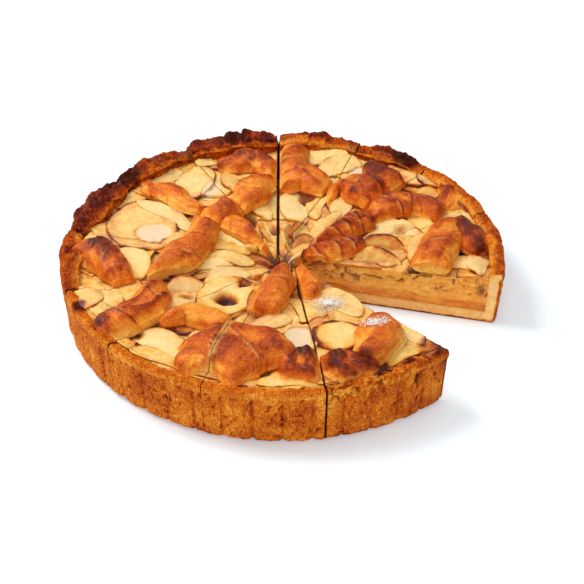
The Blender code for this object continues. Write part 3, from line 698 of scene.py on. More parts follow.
def crust_surface(index, columns):
    """Grid of the crust's baked surface in one slice, with its tones."""
    across = np.linspace(0.0, 1.0, columns)[:, None]
    top, thick, dark = rim_shape(np.degrees(slice_angle(index, OUTER_RADIUS, across)))
    crag = smooth(dark, 0.45, 0.9)
    radius, z, angle, kerf, groove, fade = crust_section(index, across, top, thick, crag)
    under, foot, outside, on_rim, inside = KINDS
    t = np.broadcast_to(SHARES, z.shape)
    turn = np.pi * t
    side = under | foot | outside
    points = np.stack([radius * np.cos(angle), radius * np.sin(angle), z], -1)
    # relief: crumb on the wall, lumps and folds on the rim
    rim = (on_rim * np.sin(turn) ** 0.6 + outside * smooth(z, top - 8.0, top - 4.0) * 0.5
           + inside * smooth(z, 29.0, 37.0) * 0.7 * crag)
    wall = np.where(foot | outside, 1.0, 0.45 * (under | on_rim | inside))
    big = fractal(points, 13.0, 3)
    lumps = fractal(points, 5.5, 5)
    crumb = fractal(points * np.array([1.0, 1.0, 0.5]), 2.4, 9)
    pits = patches(points, 1.9, 21, 0.46, 0.8)
    folds = fall(np.abs(noise(points + 3.0 * lumps[..., None], 12.0, 41)), 0.0, 0.16)
    layers = np.stack([angle * 0.3 * OUTER_RADIUS, t * thick, z], -1) + 1.4 * lumps[..., None]
    flakes = fall(np.abs(noise(layers, 3.4, 43)), 0.0, 0.30)
    move = wall * (0.40 * lumps + 0.55 * crumb - 0.55 * pits)
    move = move + rim * ((0.8 + 3.4 * crag) * big + (0.6 + 2.4 * crag) * lumps - 2.2 * folds * crag)
    move = move + rim * (0.45 + 0.55 * crag) * (1.3 * (flakes - 0.4) + 0.9 * fractal(points, 2.2, 45, 2))
    # broken crust below the rim of the last slice, and a torn place beside it
    turned_by = np.degrees(angle) % 360.0
    near_break = smooth(turned_by, 280.0, 282.0) * (1.0 - 0.75 * smooth(turned_by, 294.0, 298.0))
    broken = smooth(fractal(points, 6.0, 71, 2), -0.30, 0.0) * smooth(z, top - 11.0, top - 7.5) * near_break
    broken = broken * (outside | on_rim)
    crack = broken * fall(np.abs(noise(points, 3.6, 79)), 0.05, 0.18)
    tear = bell(turned_by - 301.5 - 0.05 * z + 2.0 * crumb, 0.75)
    tear = tear * smooth(z, 19.0, 24.0) * fall(z, 31.0, 35.0) * outside
    move = move - broken * (0.9 + 1.5 * noise(points, 2.6, 77)) - 1.8 * crack - 2.4 * tear
    move = move * np.where(under, 0.15 * smooth(radius, 30.0, 130.0), 1.0)
    points = points + normals(points) * move[..., None]
    points[..., 2] = np.maximum(points[..., 2], 0.0)
    # tones of the wall, the rim and what lies inside it
    # painted light: the wall is paler towards the left, where the key light falls
    left = 0.5 - 0.5 * np.cos(angle)
    bands = 0.14 * noise(np.stack([angle * 60.0, z * 0.4, z * 0.0], -1), 6.0, 83)
    # painted shade: the wall is browner in the grooves of the flutes
    brown = 0.42 - 0.07 * left + 0.13 * fade * smooth(groove, 0.7, 1.5) + 0.10 * big + bands
    brown = side * brown + 0.12 * foot
    outer = fall(t + 0.35 * big, 0.45 + 0.36 * crag, 0.75 + 0.36 * crag)
    crest = 0.17 + dark * (0.20 + 0.56 * outer) * np.sin(turn) ** 0.4 + 0.30 * big * crag + 0.15 * lumps
    # painted shade: the rim is browner along its folds
    crest = crest + 0.22 * folds * crag - 0.16 * flakes * (0.4 + 0.6 * crag)
    brown = np.select(
        [on_rim, outside, inside, side],
        [np.maximum(crest, 0.14), brown + 0.35 * (dark - 0.4) * smooth(z, top - 9.0, top - 4.0),
         0.36 - 0.1 * t + 0.30 * crag + 0.20 * lumps - 0.25 * flakes * crag, brown], 0.2)
    brown = brown - 0.30 * broken * smooth(crumb, -0.5, 0.1)
    # painted shade: a dark line on the wall where the knife's gap closes
    brown = brown + 0.25 * (kerf < 0.9) * (np.abs(across - 0.5) > 0.495) * outside
    pale = side * 0.35 * smooth(crumb, 0.30, 0.70) * patches(points, 9.0, 91, 0.0, 0.5) * (1.0 - broken)
    pale = pale + on_rim * 0.5 * (1 - crag) * smooth(t, 0.5, 0.85) * smooth(lumps, -0.1, 0.35)
    # the dark tone holds real burnt patches and scorched spots, and painted shade in the pits, the tear and
    # the cracks
    burn_and_shade = rim * outer * smooth(big + 0.5 * lumps, 0.20, 0.7) * smooth(dark, 0.7, 0.95) * 0.45
    for other in (0.45 * pits * side, unit(1.5 * rim) * scorch(points), 0.8 * tear, 0.85 * crack):
        burn_and_shade = np.maximum(burn_and_shade, other)
    wet = rim * crag * patches(points, 4.0, 93, -0.3, 0.2) * on_rim
    return points, paint(brown, pale, burn_and_shade, wet)


# Burnt spots on the rim: x, y, radius.
SCORCHED = [
    (86, -100, 11), (70, -112, 5), (36, -126, 7), (54, -118, 7), (-112, 78, 14), (-38, 132, 12),
    (88, 104, 12), (-120, -66, 6), (-22, 106, 5), (30, -118, 9), (44, -117, 9), (-120, -8, 8), (-104, -84, 6),
]


def scorch(points):
    """How burnt each point is by the spots it lies in."""
    total = 0.0
    for x, y, size in SCORCHED:
        away = np.hypot(points[..., 0] - x, points[..., 1] - y)
        total = np.maximum(total, fall(away, 0.45 * size, 1.1 * size))
    return total * (0.45 + 0.55 * smooth(fractal(points, 6.0, 101), -0.45, 0.15))


def resample(line, count):
    """Points at even steps along a line."""
    steps = np.r_[0.0, np.cumsum(np.linalg.norm(np.diff(line, axis=0), axis=1))]
    at = np.linspace(0.0, steps[-1], count)
    return np.stack([np.interp(at, steps, line[:, k]) for k in range(3)], -1)


def crust_cut(column, normal, step, hidden):
    """The cut side of a crust: a ruled grid between its outer and inner lines."""
    under = column[PARTS == UNDER]
    rim = column[PARTS == RIM]
    outer = np.concatenate([under[-1:], column[np.isin(PARTS, (FOOT, OUTSIDE))], rim[:RIM_MIDDLE + 1]])
    inner = np.concatenate([rim[RIM_MIDDLE:], column[PARTS == INSIDE]])[::-1]
    floor = column[PARTS == INNER_FLOOR][::-1]
    rows_floor, rows_wall = int(FLOOR_LINE / step), int(WALL_LINE / step)
    outer = np.concatenate([resample(under, rows_floor), resample(outer, rows_wall)])
    inner = np.concatenate([resample(floor, rows_floor), resample(inner, rows_wall)])
    across = np.linspace(0.0, 1.0, max(4, int(WALL / step)))[None, :, None]
    points = outer[:, None, :] * (1.0 - across) + inner[:, None, :] * across
    w = np.broadcast_to(across[..., 0], points.shape[:2])
    on_floor = (np.arange(len(points)) < rows_floor)[:, None]
    rough = 0.30 * fractal(points, 3.0, 111) + 0.25 * noise(points, 1.1, 113)
    within_skin = smooth(w, 0.0, 0.12) * fall(w, 0.9, 1.0)
    points = points - normal * (within_skin * (0.25 + rough))[..., None]
    skin = fall(w, 0.03, 0.20 + 0.06 * noise(points, 4.0, 117))
    brown = 0.16 + 0.62 * skin + 0.16 * smooth(w, 0.72, 1.0) + 0.16 * fractal(points, 4.0, 119)
    # painted shade: cut sides hidden in a narrow gap are made darker
    brown = brown + on_floor * (0.08 + 0.20 * skin) + 0.5 * hidden
    return points, paint(brown, 0.0, 0.55 * skin * patches(points, 1.6, 121, 0.2, 0.7) + 0.5 * hidden)


def cut_sides(index, points):
    """Both cuts of a slice: number, edge, inward normal, if it is the last, and if its gap is narrow."""
    for number, line, sign in ((index, points[0], 1.0), (index + 1, points[-1], -1.0)):
        left = side_line(number)[1] * sign
        yield number, line, np.array([-left[0], -left[1], 0.0]), sign < 0, CUTS[number][2] > 0.0


def make_crusts():
    for index in range(SLICES):
        shape = Shape()
        points, tones = crust_surface(index, CRUST_COLUMNS + MORE_COLUMNS * (index in BESIDE_GAPS))
        shape.grid(points, tones)
        for _, column, normal, last, hidden in cut_sides(index, points):
            cut, cut_tones = crust_cut(column, normal, HIDDEN_STEP if hidden else OPEN_STEP, float(hidden))
            shape.grid(cut, cut_tones, flip=last, slot=CUT)
        shape.build("crust_%02d" % (index + 1), [CRUST, FLESH, CRUMB], "crust")


# Apple filling

# Rims baked less than this slope inwards, and slices reach up their slope.
SLOPED = 0.48
# Maps of the tart, a cell for each millimetre: its half side, what is laid so far, and painted shade with
# juice at the feet of the strips.
HALF = 142
SUPPORT = None
STRIP_SHADE = None
# Stands for a place far away from everything.
FAR = 99.0
FILLING_BASE = FLOOR + 0.3
# Deep places between the slices, darkened as painted shade with some syrup browning: x, y, radius, depth.
HOLES = [
    (0, -3, 8.5, 8), (-34, -48, 8.5, 7), (-23, 41, 7, 5), (-15, 25, 4, 5), (117, 1, 7, 5), (17, 66, 6, 4),
    (78, 22, 5, 3), (-58, -47, 5, 3), (84, -18, 5, 4), (-86, -86, 7, 3), (26, 3, 6, 5), (-24, -30, 5, 4),
    (60, 40, 5, 3), (-124, -72, 5, 3), (-4, 34, 5, 4),
]


def hollow(x, y):
    """How deep a place is, and how dark: painted shade with some syrup browning."""
    depth = np.zeros(np.shape(x))
    dark = np.zeros(np.shape(x))
    uneven = 2.0 * fractal(np.stack([x, y, 0.0 * x], -1), 6.0, 135)
    for hx, hy, size, deep in HOLES:
        away = np.hypot(x - hx, y - hy) + uneven * (size < 8.0)
        share = fall(away, 0.3 * size, 1.15 * size)
        depth = np.maximum(depth, deep * share)
        dark = np.maximum(dark, share * min(deep / 7.0, 1.0))
    return depth, dark


def body_height(x, y):
    """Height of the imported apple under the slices."""
    flat = np.stack([x, y, np.zeros(np.shape(x))], -1)
    depth, _ = hollow(x, y)
    lift = 2.2 * smooth(np.hypot(x, y), 114.0, 131.0)
    uneven = 0.9 * fractal(flat, 13.0, 131) + 0.35 * noise(flat, 4.0, 133)
    return heap_height(x, y) - 4.2 + lift + uneven - depth


def map_places():
    """Places of the cells of a map."""
    side = np.arange(-HALF, HALF + 1) * 1.0
    return np.meshgrid(side, side, indexing="ij")


def start_support():
    """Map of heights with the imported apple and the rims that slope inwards."""
    x, y = map_places()
    top, thick, dark = rim_shape(np.degrees(np.arctan2(y, x)))
    across = unit((OUTER_RADIUS - np.hypot(x, y)) / thick)
    t = np.arccos(1.0 - 2.0 * across) / np.pi
    rim = top - RIM_ROUND + RIM_ROUND * roll_share(t, smooth(dark, 0.45, 0.9))
    return np.where((across < 1.0) & (dark < SLOPED), rim, body_height(x, y))


def grid_of(values, x, y):
    """Value of a map at each place, between its cells."""
    gx = np.clip(x + HALF, 0, 2 * HALF - 1.001)
    gy = np.clip(y + HALF, 0, 2 * HALF - 1.001)
    ix, iy = gx.astype(int), gy.astype(int)
    fx, fy = gx - ix, gy - iy
    low = values[ix, iy] * (1 - fx) + values[ix + 1, iy] * fx
    high = values[ix, iy + 1] * (1 - fx) + values[ix + 1, iy + 1] * fx
    return low * (1 - fy) + high * fy


def support(x, y):
    """Height of whatever already lies at each place."""
    return grid_of(SUPPORT, x, y)


def strip_shade():
    """Map of how near each place is to a strip: painted shade at its foot, with its juice browning the
    apples.
    """
    x, y = map_places()
    nearest = np.full(x.shape, FAR)
    for *_, knots, _ in STRIPS:
        for cx, cy, half in smooth_path(knots, 24):
            nearest = np.minimum(nearest, np.hypot(x - cx, y - cy) - half)
    return bell(np.maximum(nearest, 0.0), 4.0)


def outline(kind, phi, length, width, seed):
    """Edge of a slice of apple as seen from above, about its own middle."""
    u, v = np.cos(phi), np.sin(phi)
    if kind == OVAL:
        size = 1.0 + 0.03 * np.sin(2 * phi + seed) + 0.025 * np.sin(3 * phi + 2.0 * seed)
        return u * length / 2 * size, v * width / 2 * size
    core = np.where(v < 0, 0.62, 1.0)
    notch = 0.14 * np.exp(-((u - 0.25 * math.sin(seed)) / 0.30) ** 2) * (v < 0)
    wobble = 1.0 + 0.035 * np.sin(3 * phi + seed) + 0.02 * np.sin(5 * phi + 2 * seed)
    bend = 0.10 * width * (1.0 - u * u)
    return u * length / 2 * wobble, (v * core + notch) * width / 2 * wobble * 1.12 - 0.10 * width + bend


# Slices of more than this area have more rings, and ones browned more than this have a broad dark edge.
LARGE_AREA, LARGE_RINGS = 1100, 22
BURNT_EDGE = 1.2
# Rings of a laid slice from its middle above to its middle below, and the share of its thickness at each.
RINGS = np.array([0.03, 0.22, 0.42, 0.6, 0.75, 0.87, 0.95, 0.99, 1.0, 1.0, 0.985, 0.55, 0.03])
LIFTS = np.array([1.0, 1.0, 1.0, 1.0, 1.0, 1.0, 0.98, 0.93, 0.80, 0.25, 0.0, 0.0, 0.0])

# Rows of a standing slice: height, and how far back each lies.
STAND_ROWS = np.array([[0.0, 0.2, 0.4, 0.58, 0.74, 0.87, 0.95, 1.0, 1.0, 0.95, 0.87, 0.7, 0.4, 0.0]]).T
STAND_BACK = np.array([[0, 0, 0, 0, 0, 0, 0.12, 0.35, 0.65, 0.88, 1, 1, 1, 1]]).T


def turned(u, v, turn):
    """A place turned about the origin by this many degrees."""
    c, s = math.cos(math.radians(turn)), math.sin(math.radians(turn))
    return c * u - s * v, s * u + c * v


def sag(gap, share):
    """How far a soft slice gives way, most at its edge, to what lies under it."""
    return 0.72 * np.clip(gap, -3.2, 0.6) * unit(share) ** 1.5


def add_cores(points, brown, pale, wet, top):
    """Smooth pale core patches with a brown line round them."""
    x, y = points[..., 0], points[..., 1]
    for cx, cy, a, b, core_turn in CORES:
        lu, lv = turned(x - cx, y - cy, -core_turn)
        away = np.hypot(lu / a, lv / b)
        patch = fall(away, 0.82, 1.0)
        pale = np.maximum(pale, patch)
        wet = np.maximum(wet, patch)
        line = bell(away - 1.02, 0.07) * (0.3 + 0.7 * smooth(-lv - lu, -6, 6))
        brown = brown * (1.0 - 0.8 * patch) + 0.42 * line
        points[..., 2] -= 0.5 * patch * top
    return brown, pale, wet


def cover_support(row, seed, thick, middle, tilt):
    """Raise the map of heights where a laid slice covers it."""
    kind, x, y, length, width, turn, _, _ = row
    near = int(math.hypot(length, width) / 2 + 3)
    lows = [max(int(round(c)) + HALF - near, 0) for c in (x, y)]
    highs = [min(int(round(c)) + HALF + near, 2 * HALF) for c in (x, y)]
    gx, gy = np.meshgrid(*[np.arange(low, high) - HALF for low, high in zip(lows, highs)], indexing="ij")
    gu, gv = turned(gx - x, gy - y, -turn)
    eu, ev = outline(kind, np.linspace(0.0, math.tau, 73), length, width, seed)
    at = np.arctan2(ev, eu) % math.tau
    order = np.argsort(at)
    reach = np.interp(np.arctan2(gv, gu) % math.tau, at[order], np.hypot(eu, ev)[order])
    share = np.hypot(gu, gv) / np.maximum(reach, 0.1)
    cover = middle + tilt[0] * (gx - x) + tilt[1] * (gy - y)
    place = (slice(lows[0], highs[0]), slice(lows[1], highs[1]))
    laid = SUPPORT[place]
    raised = np.maximum(laid, cover + sag(laid - cover, share) + 0.85 * thick)
    SUPPORT[place] = np.where(share < 1.0, raised, laid)


def lay_slice(row, seed, thick, brown, tint, firm):
    """A slice of apple laid on what is already there, which it then covers."""
    kind, x, y, length, width, turn, lean, edge = row
    columns = int(np.clip((length + width) * 1.05, 28, 96))
    rings, lifts = RINGS, LIFTS
    if length * width > LARGE_AREA:
        steps = np.arange(len(RINGS))
        finer = np.linspace(0, steps[-1], LARGE_RINGS)
        rings, lifts = [np.interp(finer, steps, line) for line in (RINGS, LIFTS)]
    rings, lifts = rings[:, None], lifts[:, None]
    phi = np.linspace(0.0, math.tau, columns, endpoint=False)[None, :]
    ou, ov = outline(kind, phi, length, width, seed)
    v = rings * ov
    dx, dy = turned(rings * ou, v, turn)
    px, py = x + dx, y + dy
    under = support(px, py)
    # a stiff slice bridges what it lies on, a soft one follows it
    flat = np.stack([np.ones(px.size), (px - x).ravel(), (py - y).ravel()], -1)
    middle, *slope = np.linalg.lstsq(flat, under.ravel(), rcond=None)[0]
    tilt = np.clip(slope, -0.14, 0.14) + 0.5 * lean * np.array(turned(0.0, 1.0, turn))
    plane = middle + tilt[0] * (px - x) + tilt[1] * (py - y)
    rest = under - plane
    raise_by = max(np.percentile(rest, 62), rest.max() - thick + 0.2) * firm
    plane = plane + raise_by
    bottom = plane + sag(under - plane, rings)
    wedge = 0.66 + 0.44 * np.clip(v / (width / 2), -1.0, 1.0) if kind == MOON else 1.0
    points = np.stack([px, py, bottom + lifts * thick * wedge], -1)
    top = (lifts > 0.5) * (rings < 0.97)
    points[..., 2] += top * (0.55 * fractal(points, 9.0, 141 + seed) + 0.22 * noise(points, 3.0, 143))
    # tones: the edge is browned on one side, in patches
    way = np.sin(phi) if kind == MOON else np.cos(phi - 0.8 * math.sin(seed))
    arc = smooth(way * np.ones_like(rings), -0.3, 0.4)
    burnt_edge = edge > BURNT_EDGE
    if kind == OVAL:
        arc = np.maximum(arc, 1.0 if burnt_edge else 0.75 * patches(points, 16.0, 157, -0.4, 0.1))
    patchy = patches(points, 7.0, 149, -0.8, 0.3)
    rim_line = smooth(rings, 0.92 - 0.16 * burnt_edge, 0.99) * (0.16 + 0.84 * arc)
    browned = brown + edge * (0.85 * rim_line * patchy + 0.26 * smooth(rings, 0.55, 1.0) * arc * patchy)
    browned = browned + 0.12 * (lifts < 0.5)
    scald = smooth(fractal(points, 10.0, 151, 2), 0.30, 0.62) * 0.20 * smooth(rings, 0.45, 0.95)
    pale = tint * (1.0 - rim_line) * (lifts > 0.5)
    browned, pale, wet = add_cores(points, browned, pale, np.full(px.shape, 0.35), top)
    # painted shade at the feet of the strips, with some juice browning
    browned = browned + 0.24 * grid_of(STRIP_SHADE, px, py) * patches(points, 9.0, 153, -0.6, 0.2)
    depth, dark = hollow(px, py)
    points[..., 2] -= depth
    dark = np.maximum(dark, 0.75 * scorch(points) * smooth(np.hypot(px, py), 112.0, 122.0))
    cover_support(row, seed, thick, middle + raise_by, tilt)
    tones = paint(browned + scald + 0.6 * dark, pale * (1.0 - dark), 0.9 * dark ** 1.2, wet)
    return points, tones, blob_faces(*px.shape)


def stand_slice(row, seed, thick, brown, tint):
    """A slice that stands on its long edge and leans back, with its curved browned edge up."""
    _, x, y, length, width, turn, lean, edge = row
    a = np.linspace(-1.0, 1.0, int(length * 1.3))[None, :]
    arc = np.maximum(1.0 - np.abs(a) ** 2.4, 0.0) ** 0.62
    tall = 7.0 + width * 0.80
    h = STAND_ROWS * arc * tall + STAND_ROWS * 0.5 * np.sin(a * 5.0 + seed)
    sine, cosine = math.sin(math.radians(lean)), math.cos(math.radians(lean))
    deep = STAND_BACK * thick * (0.35 + 0.65 * arc)
    back = h * cosine + deep * sine - tall * cosine * 0.55
    up = h * sine - deep * cosine
    bow = 1.2 * (1.0 - a ** 2)
    dx, dy = turned(a * length / 2 * np.ones_like(back), back + bow, turn)
    foot = float(np.median(support(x + dx[0], y + dy[0])))
    points = np.stack([x + dx, y + dy, foot - 6.0 + up], -1)
    points[..., 2] += 0.35 * fractal(points, 7.0, 161 + seed)
    crest = smooth(STAND_ROWS, 0.80, 1.0) * np.ones_like(h)
    _, dark = hollow(points[..., 0], points[..., 1])
    browned = brown + edge * (0.70 * crest * patches(points, 8.0, 163, -0.9, 0.2))
    # painted shade: the lower rows are darker towards the foot, with some juice browning, and the holes
    # darken them too
    browned = browned + 0.30 * (1.0 - STAND_ROWS) + 0.15 * (STAND_BACK >= 0.3) + 0.25 * dark
    gx, gy = [np.clip(c.round().astype(int) + HALF, 0, 2 * HALF).ravel() for c in (x + dx, y + dy)]
    np.maximum.at(SUPPORT, (gx, gy), points[..., 2].ravel() - 1.5)
    return points, paint(browned, tint * (1.0 - crest), 0.7 * dark ** 1.5, 0.4), blob_faces(*h.shape)


def filler_rows(rng):
    """Slices of the layer below, scattered evenly over the tart."""
    rows = []
    for radius, count in ((38, 7), (57, 9), (76, 11), (95, 13), (113, 16), (127, 20)):
        at_rim = radius > 120
        for k in range(count):
            a = math.tau * (k + rng.uniform(-0.3, 0.3)) / count + radius
            r = radius + (0 if at_rim else rng.uniform(-5, 5))
            if at_rim and rim_shape(np.array([math.degrees(a)]))[2][0] > SLOPED:
                r -= 5.0
            x, y = r * math.cos(a), r * math.sin(a)
            if any(math.hypot(x - hx, y - hy) < size + 4 for hx, hy, size, _ in HOLES):
                continue
            across = rng.random() < 0.5 or at_rim
            turn = math.degrees(a) + 90 * across + rng.uniform(-35, 35) * (not at_rim)
            length = rng.uniform(42, 60) * (0.66 if radius < 50 else 1.0)
            wide = 0.36 if at_rim else rng.uniform(0.42, 0.56)
            kind = OVAL if rng.random() < 0.25 and not at_rim else MOON
            lean = -0.16 if at_rim else rng.uniform(0.0, 0.10)
            rows.append((kind, x, y, length, length * wide, turn, lean, rng.uniform(0.3, 0.9)))
    return rows


def shard_rows(rng):
    """Upright slices that crowd round the sunken middle."""
    rows = []
    for radius, count in ((14, 5), (24, 9)):
        for k in range(count):
            a = math.tau * (k + rng.uniform(-0.3, 0.3)) / count + 0.3
            x, y = radius * math.cos(a), radius * math.sin(a)
            length, width = rng.uniform(15, 24), rng.uniform(5, 9)
            turn = math.degrees(a) + rng.uniform(-38, 38)
            rows.append((EDGE, x, y, length, width, turn, rng.uniform(48, 74), rng.uniform(0.3, 1.0)))
    return rows


BODY_COLUMNS, BODY_ROWS = 34, 64
CUT_COLUMNS, CUT_ROWS = 230, 56


def at_base(points):
    """The places on the floor of the crust below these points."""
    return points * np.array([1.0, 1.0, 0.0]) + np.array([0.0, 0.0, FILLING_BASE])


def body_slice(shape, index):
    """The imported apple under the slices: its top, its sides at the cuts, its outer side and its base."""
    across = np.linspace(0.0, 1.0, BODY_COLUMNS)[:, None]
    reach = OUTER_RADIUS - rim_shape(np.degrees(slice_angle(index, 130.0, across)))[1] + 0.2
    outward = np.linspace(0.0, 1.0, BODY_ROWS)[None, :]
    radius = 1.5 + (reach - 1.5) * outward
    angle = slice_angle(index, radius, across)
    x, y = radius * np.cos(angle), radius * np.sin(angle)
    points = np.stack([x, y, body_height(x, y)], -1)
    _, dark = hollow(x, y)
    brown = 0.36 + 0.22 * fractal(points, 9.0, 171) + 0.2 * smooth(outward, 0.90, 0.98) + 0.4 * dark
    # painted shade at the feet of the strips, with some juice browning
    brown = brown + 0.15 * grid_of(STRIP_SHADE, x, y)
    # painted shade in the sunken middle
    dark = np.maximum(dark, 0.8 * fall(radius, 8.0, 17.0))
    shape.grid(points, paint(brown, 0.15, dark ** 1.5, 0.6))
    for number, line, normal, last, hidden in cut_sides(index, points):
        if hidden:
            depth = np.linspace(0.0, 1.0, 5)[None, :, None]
            side = line[:, None, :] * (1 - depth) + at_base(line)[:, None, :] * depth
            # painted shade: cut sides hidden in a narrow gap are dark
            shape.grid(side, paint(np.full(side.shape[:2], 0.7), 0.0, 0.5, 0.4), flip=not last, slot=CUT)
        else:
            cut_face(shape, line, normal, last, number)
    wall = points[:, -1]
    shape.grid(np.stack([wall, at_base(wall)], 1), paint(np.full((BODY_COLUMNS, 2), 0.6)))
    base = at_base(points[:, ::8])
    shape.grid(base, paint(np.full(base.shape[:2], 0.5)), flip=True)


def cut_face(shape, line, normal, flip, number):
    """The wide-open cut: small chunks above, long slices below them and amber juice at the bottom."""
    edge = resample(line, CUT_COLUMNS)
    edge[:, 2] = np.maximum(edge[:, 2], support(edge[:, 0], edge[:, 1]) - 1.6)
    across = np.linspace(0.0, 1.0, CUT_ROWS)[None, :]
    points = edge[:, None, :] * (1 - across[..., None]) + at_base(edge)[:, None, :] * across[..., None]
    z = points[..., 2]
    s = np.hypot(edge[:, 0], edge[:, 1])[:, None] * np.ones_like(z)
    flat = np.stack([s * 0.6, z, np.full_like(z, number * 40.0)], -1)
    height = (z - FILLING_BASE) / (edge[:, 2:3] - FILLING_BASE) + 0.16 * noise(flat * 0.5, 9.0, 180)
    # long slices: which layer a point lies in, and how near to a seam
    layer = z + 5.0 * noise(flat * 0.5, 9.0, 181) + 1.8 * np.sin(s / 17.0) + 1.2 * noise(flat, 5.0, 183)
    layer = layer / 5.2
    share = layer - np.floor(layer)
    seam = np.minimum(share, 1.0 - share)
    tint = noise(np.stack([np.floor(layer) * 7.0, s * 0.25, 0 * z], -1) + 0.5, 3.1, 187)
    # chunks: the cells of a noise, with painted shade between them and in small holes
    chunks = smooth(height, 0.42, 0.62)
    round_cell = flat * np.array([1.5, 1.0, 1.0])
    cell = np.abs(noise(round_cell + 1.2 * noise(flat, 2.5, 185)[..., None], 3.8, 193))
    between = fall(cell, 0.0, 0.16) * chunks * patches(flat, 7.0, 194, -0.1, 0.4)
    gap = bell(seam, 0.10) * patches(flat, 6.0, 195, -0.2, 0.4) * (1.0 - 0.6 * chunks)
    hole = patches(round_cell, 3.2, 191, 0.50, 0.75) * chunks
    move = chunks * (1.7 * np.sqrt(cell) - 0.8) + 0.7 * tint * (1.0 - chunks) - 0.6 * gap - 1.3 * hole
    move = move + (0.3 + 0.6 * chunks) * fractal(round_cell, 2.2, 199)
    fade = smooth(across, 0.0, 0.06) * fall(across, 0.95, 1.0)
    points = points + normal * ((np.minimum(move, 1.0) - 0.4) * fade)[..., None]
    amber = fall(height, 0.16, 0.40)
    brown = 0.24 + 0.10 * tint * (1.0 - amber) + 0.17 * amber + 0.20 * between
    brown = brown + 0.16 * gap * (1.0 - 0.7 * amber)
    brown = brown + 0.15 * smooth(s, 104.0, 130.0) * (1 - height) + 0.12 * chunks * noise(flat, 3.0, 189)
    pale = unit(0.10 + 0.45 * tint) * (1.0 - amber) * (1.0 - between)
    nook = bell(s - 128.0, 2.4) * bell(height - 0.66, 0.12)
    # painted shade between the chunks, in the holes and in a nook by the crust
    dark = 0.15 * between + 0.7 * hole + 0.9 * nook
    shape.grid(points, paint(brown, pale, dark, 0.7), flip=not flip, slot=CUT)


def make_fillings():
    """Lay all the apple slices in turn, then share them out among the slices of the tart."""
    global SUPPORT, STRIP_SHADE
    SUPPORT, STRIP_SHADE = start_support(), strip_shade()
    rng = np.random.default_rng(APPLE_SEED)
    shapes = [Shape() for _ in range(SLICES)]
    laid = []
    for row in filler_rows(rng):
        seed, thick = int(rng.integers(1, 90)), rng.uniform(1.5, 2.0)
        laid.append(lay_slice(row, seed, thick, rng.uniform(0.18, 0.42), rng.uniform(0.0, 0.25), 0.5))
    for row in shard_rows(rng):
        seed = int(rng.integers(1, 90))
        laid.append(stand_slice(row, seed, 4.6, rng.uniform(0.06, 0.30), rng.uniform(0.1, 0.4)))
    for row in APPLES:
        seed = int(rng.integers(1, 90))
        brown, tint = rng.uniform(0.06, 0.30), rng.uniform(0.0, 0.3)
        if row[0] == EDGE:
            laid.append(stand_slice(row, seed, 3.4, brown, tint))
        else:
            laid.append(lay_slice(row, seed, rng.uniform(2.2, 2.9), brown, tint, 0.85))
    for points, tones, faces in laid:
        limit_to_rim(points)
        share_out(shapes, points, tones, faces)
    for index, shape in enumerate(shapes):
        body_slice(shape, index)
        if index == SUGARED_SLICE:
            sugar = grains(rng, *SUGAR_ON_APPLE, lambda x, y: float(support(np.array(x), np.array(y))) + 0.5)
            shape.add(*sugar, [3] * len(sugar[2]))
        shape.build("filling_%02d" % (index + 1), [APPLE, FLESH, FLESH, SUGAR], "apple")


def limit_to_rim(points):
    """Slices that reach the crust end on the inner slope of its rim, or before it where it stands up."""
    radius = np.hypot(points[..., 0], points[..., 1])
    angle = np.degrees(np.arctan2(points[..., 1], points[..., 0]))
    _, thick, dark = rim_shape(angle)
    inner = OUTER_RADIUS - thick - 0.3 + np.where(dark < SLOPED, 0.62 * thick, 0.0)
    factor = np.where(radius > inner, inner / np.maximum(radius, 1.0), 1.0)
    points[..., :2] *= factor[..., None]


# Strips of dough

# Rounded end of a strip: its rows, its length and the size of its tip as shares of the half width.
CAP_ROWS, CAP_LENGTH, CAP_TIP = 11, 0.85, 0.06
STRIP_COLUMNS = 66
# Sugar on a strip and on a slice: x, y, radius, grains.
SUGARED_STRIP = "front_sugar"
SUGAR_ON_STRIP = (53.0, -89.0, 7.0, 420)
SUGARED_SLICE = 11
SUGAR_ON_APPLE = (28.0, -56.0, 11.0, 620)


def smooth_path(knots, count):
    """Points at even steps on a smooth curve through the knots."""
    knots = np.array(knots, float)
    spans = len(knots) - 1
    at = np.linspace(0.0, spans, count)
    k = np.minimum(at.astype(int), spans - 1)
    t = (at - k)[:, None]
    a, b = knots[np.maximum(k - 1, 0)], knots[k]
    c, d = knots[k + 1], knots[np.minimum(k + 2, spans)]
    square, cube = (2 * a - 5 * b + 4 * c - d) * t ** 2, (3 * b - a - 3 * c + d) * t ** 3
    return 0.5 * (2 * b + (c - a) * t + square + cube)


def near_cut(points, numbers):
    """Distance of each point from the nearest of these cuts."""
    nearest = np.full(points.shape[:-1], FAR)
    for number in numbers:
        q, left = side_line(number)
        ahead = np.array([left[1], -left[0]])
        flat = points[..., :2] - q
        away = np.where(flat @ ahead > 0.0, np.abs(flat @ left), FAR)
        nearest = np.minimum(nearest, away)
    return nearest


def grains(rng, centre_x, centre_y, radius, count, height_at):
    """Specks of sugar lying on a surface, each a small four-sided grain."""
    points, faces = [], []
    for _ in range(count):
        a, r = rng.uniform(0, math.tau), radius * abs(rng.normal(0.0, 0.48))
        x, y = centre_x + 1.25 * r * math.cos(a), centre_y + 0.8 * r * math.sin(a)
        z = height_at(x, y) + rng.uniform(-0.05, 0.25)
        size, turn = rng.uniform(0.25, 0.62), rng.uniform(0, math.tau)
        base = len(points)
        for k in range(4):
            b = turn + math.tau * k / 4
            points.append((x + size * math.cos(b), y + size * math.sin(b), z))
        points.append((x, y, z + size * 0.9))
        points.append((x, y, z - size * 0.5))
        for k in range(4):
            n = (k + 1) % 4
            faces += [(base + k, base + n, base + 4), (base + n, base + k, base + 5)]
    points = np.array(points)
    return points, paint(np.zeros(len(points))), faces


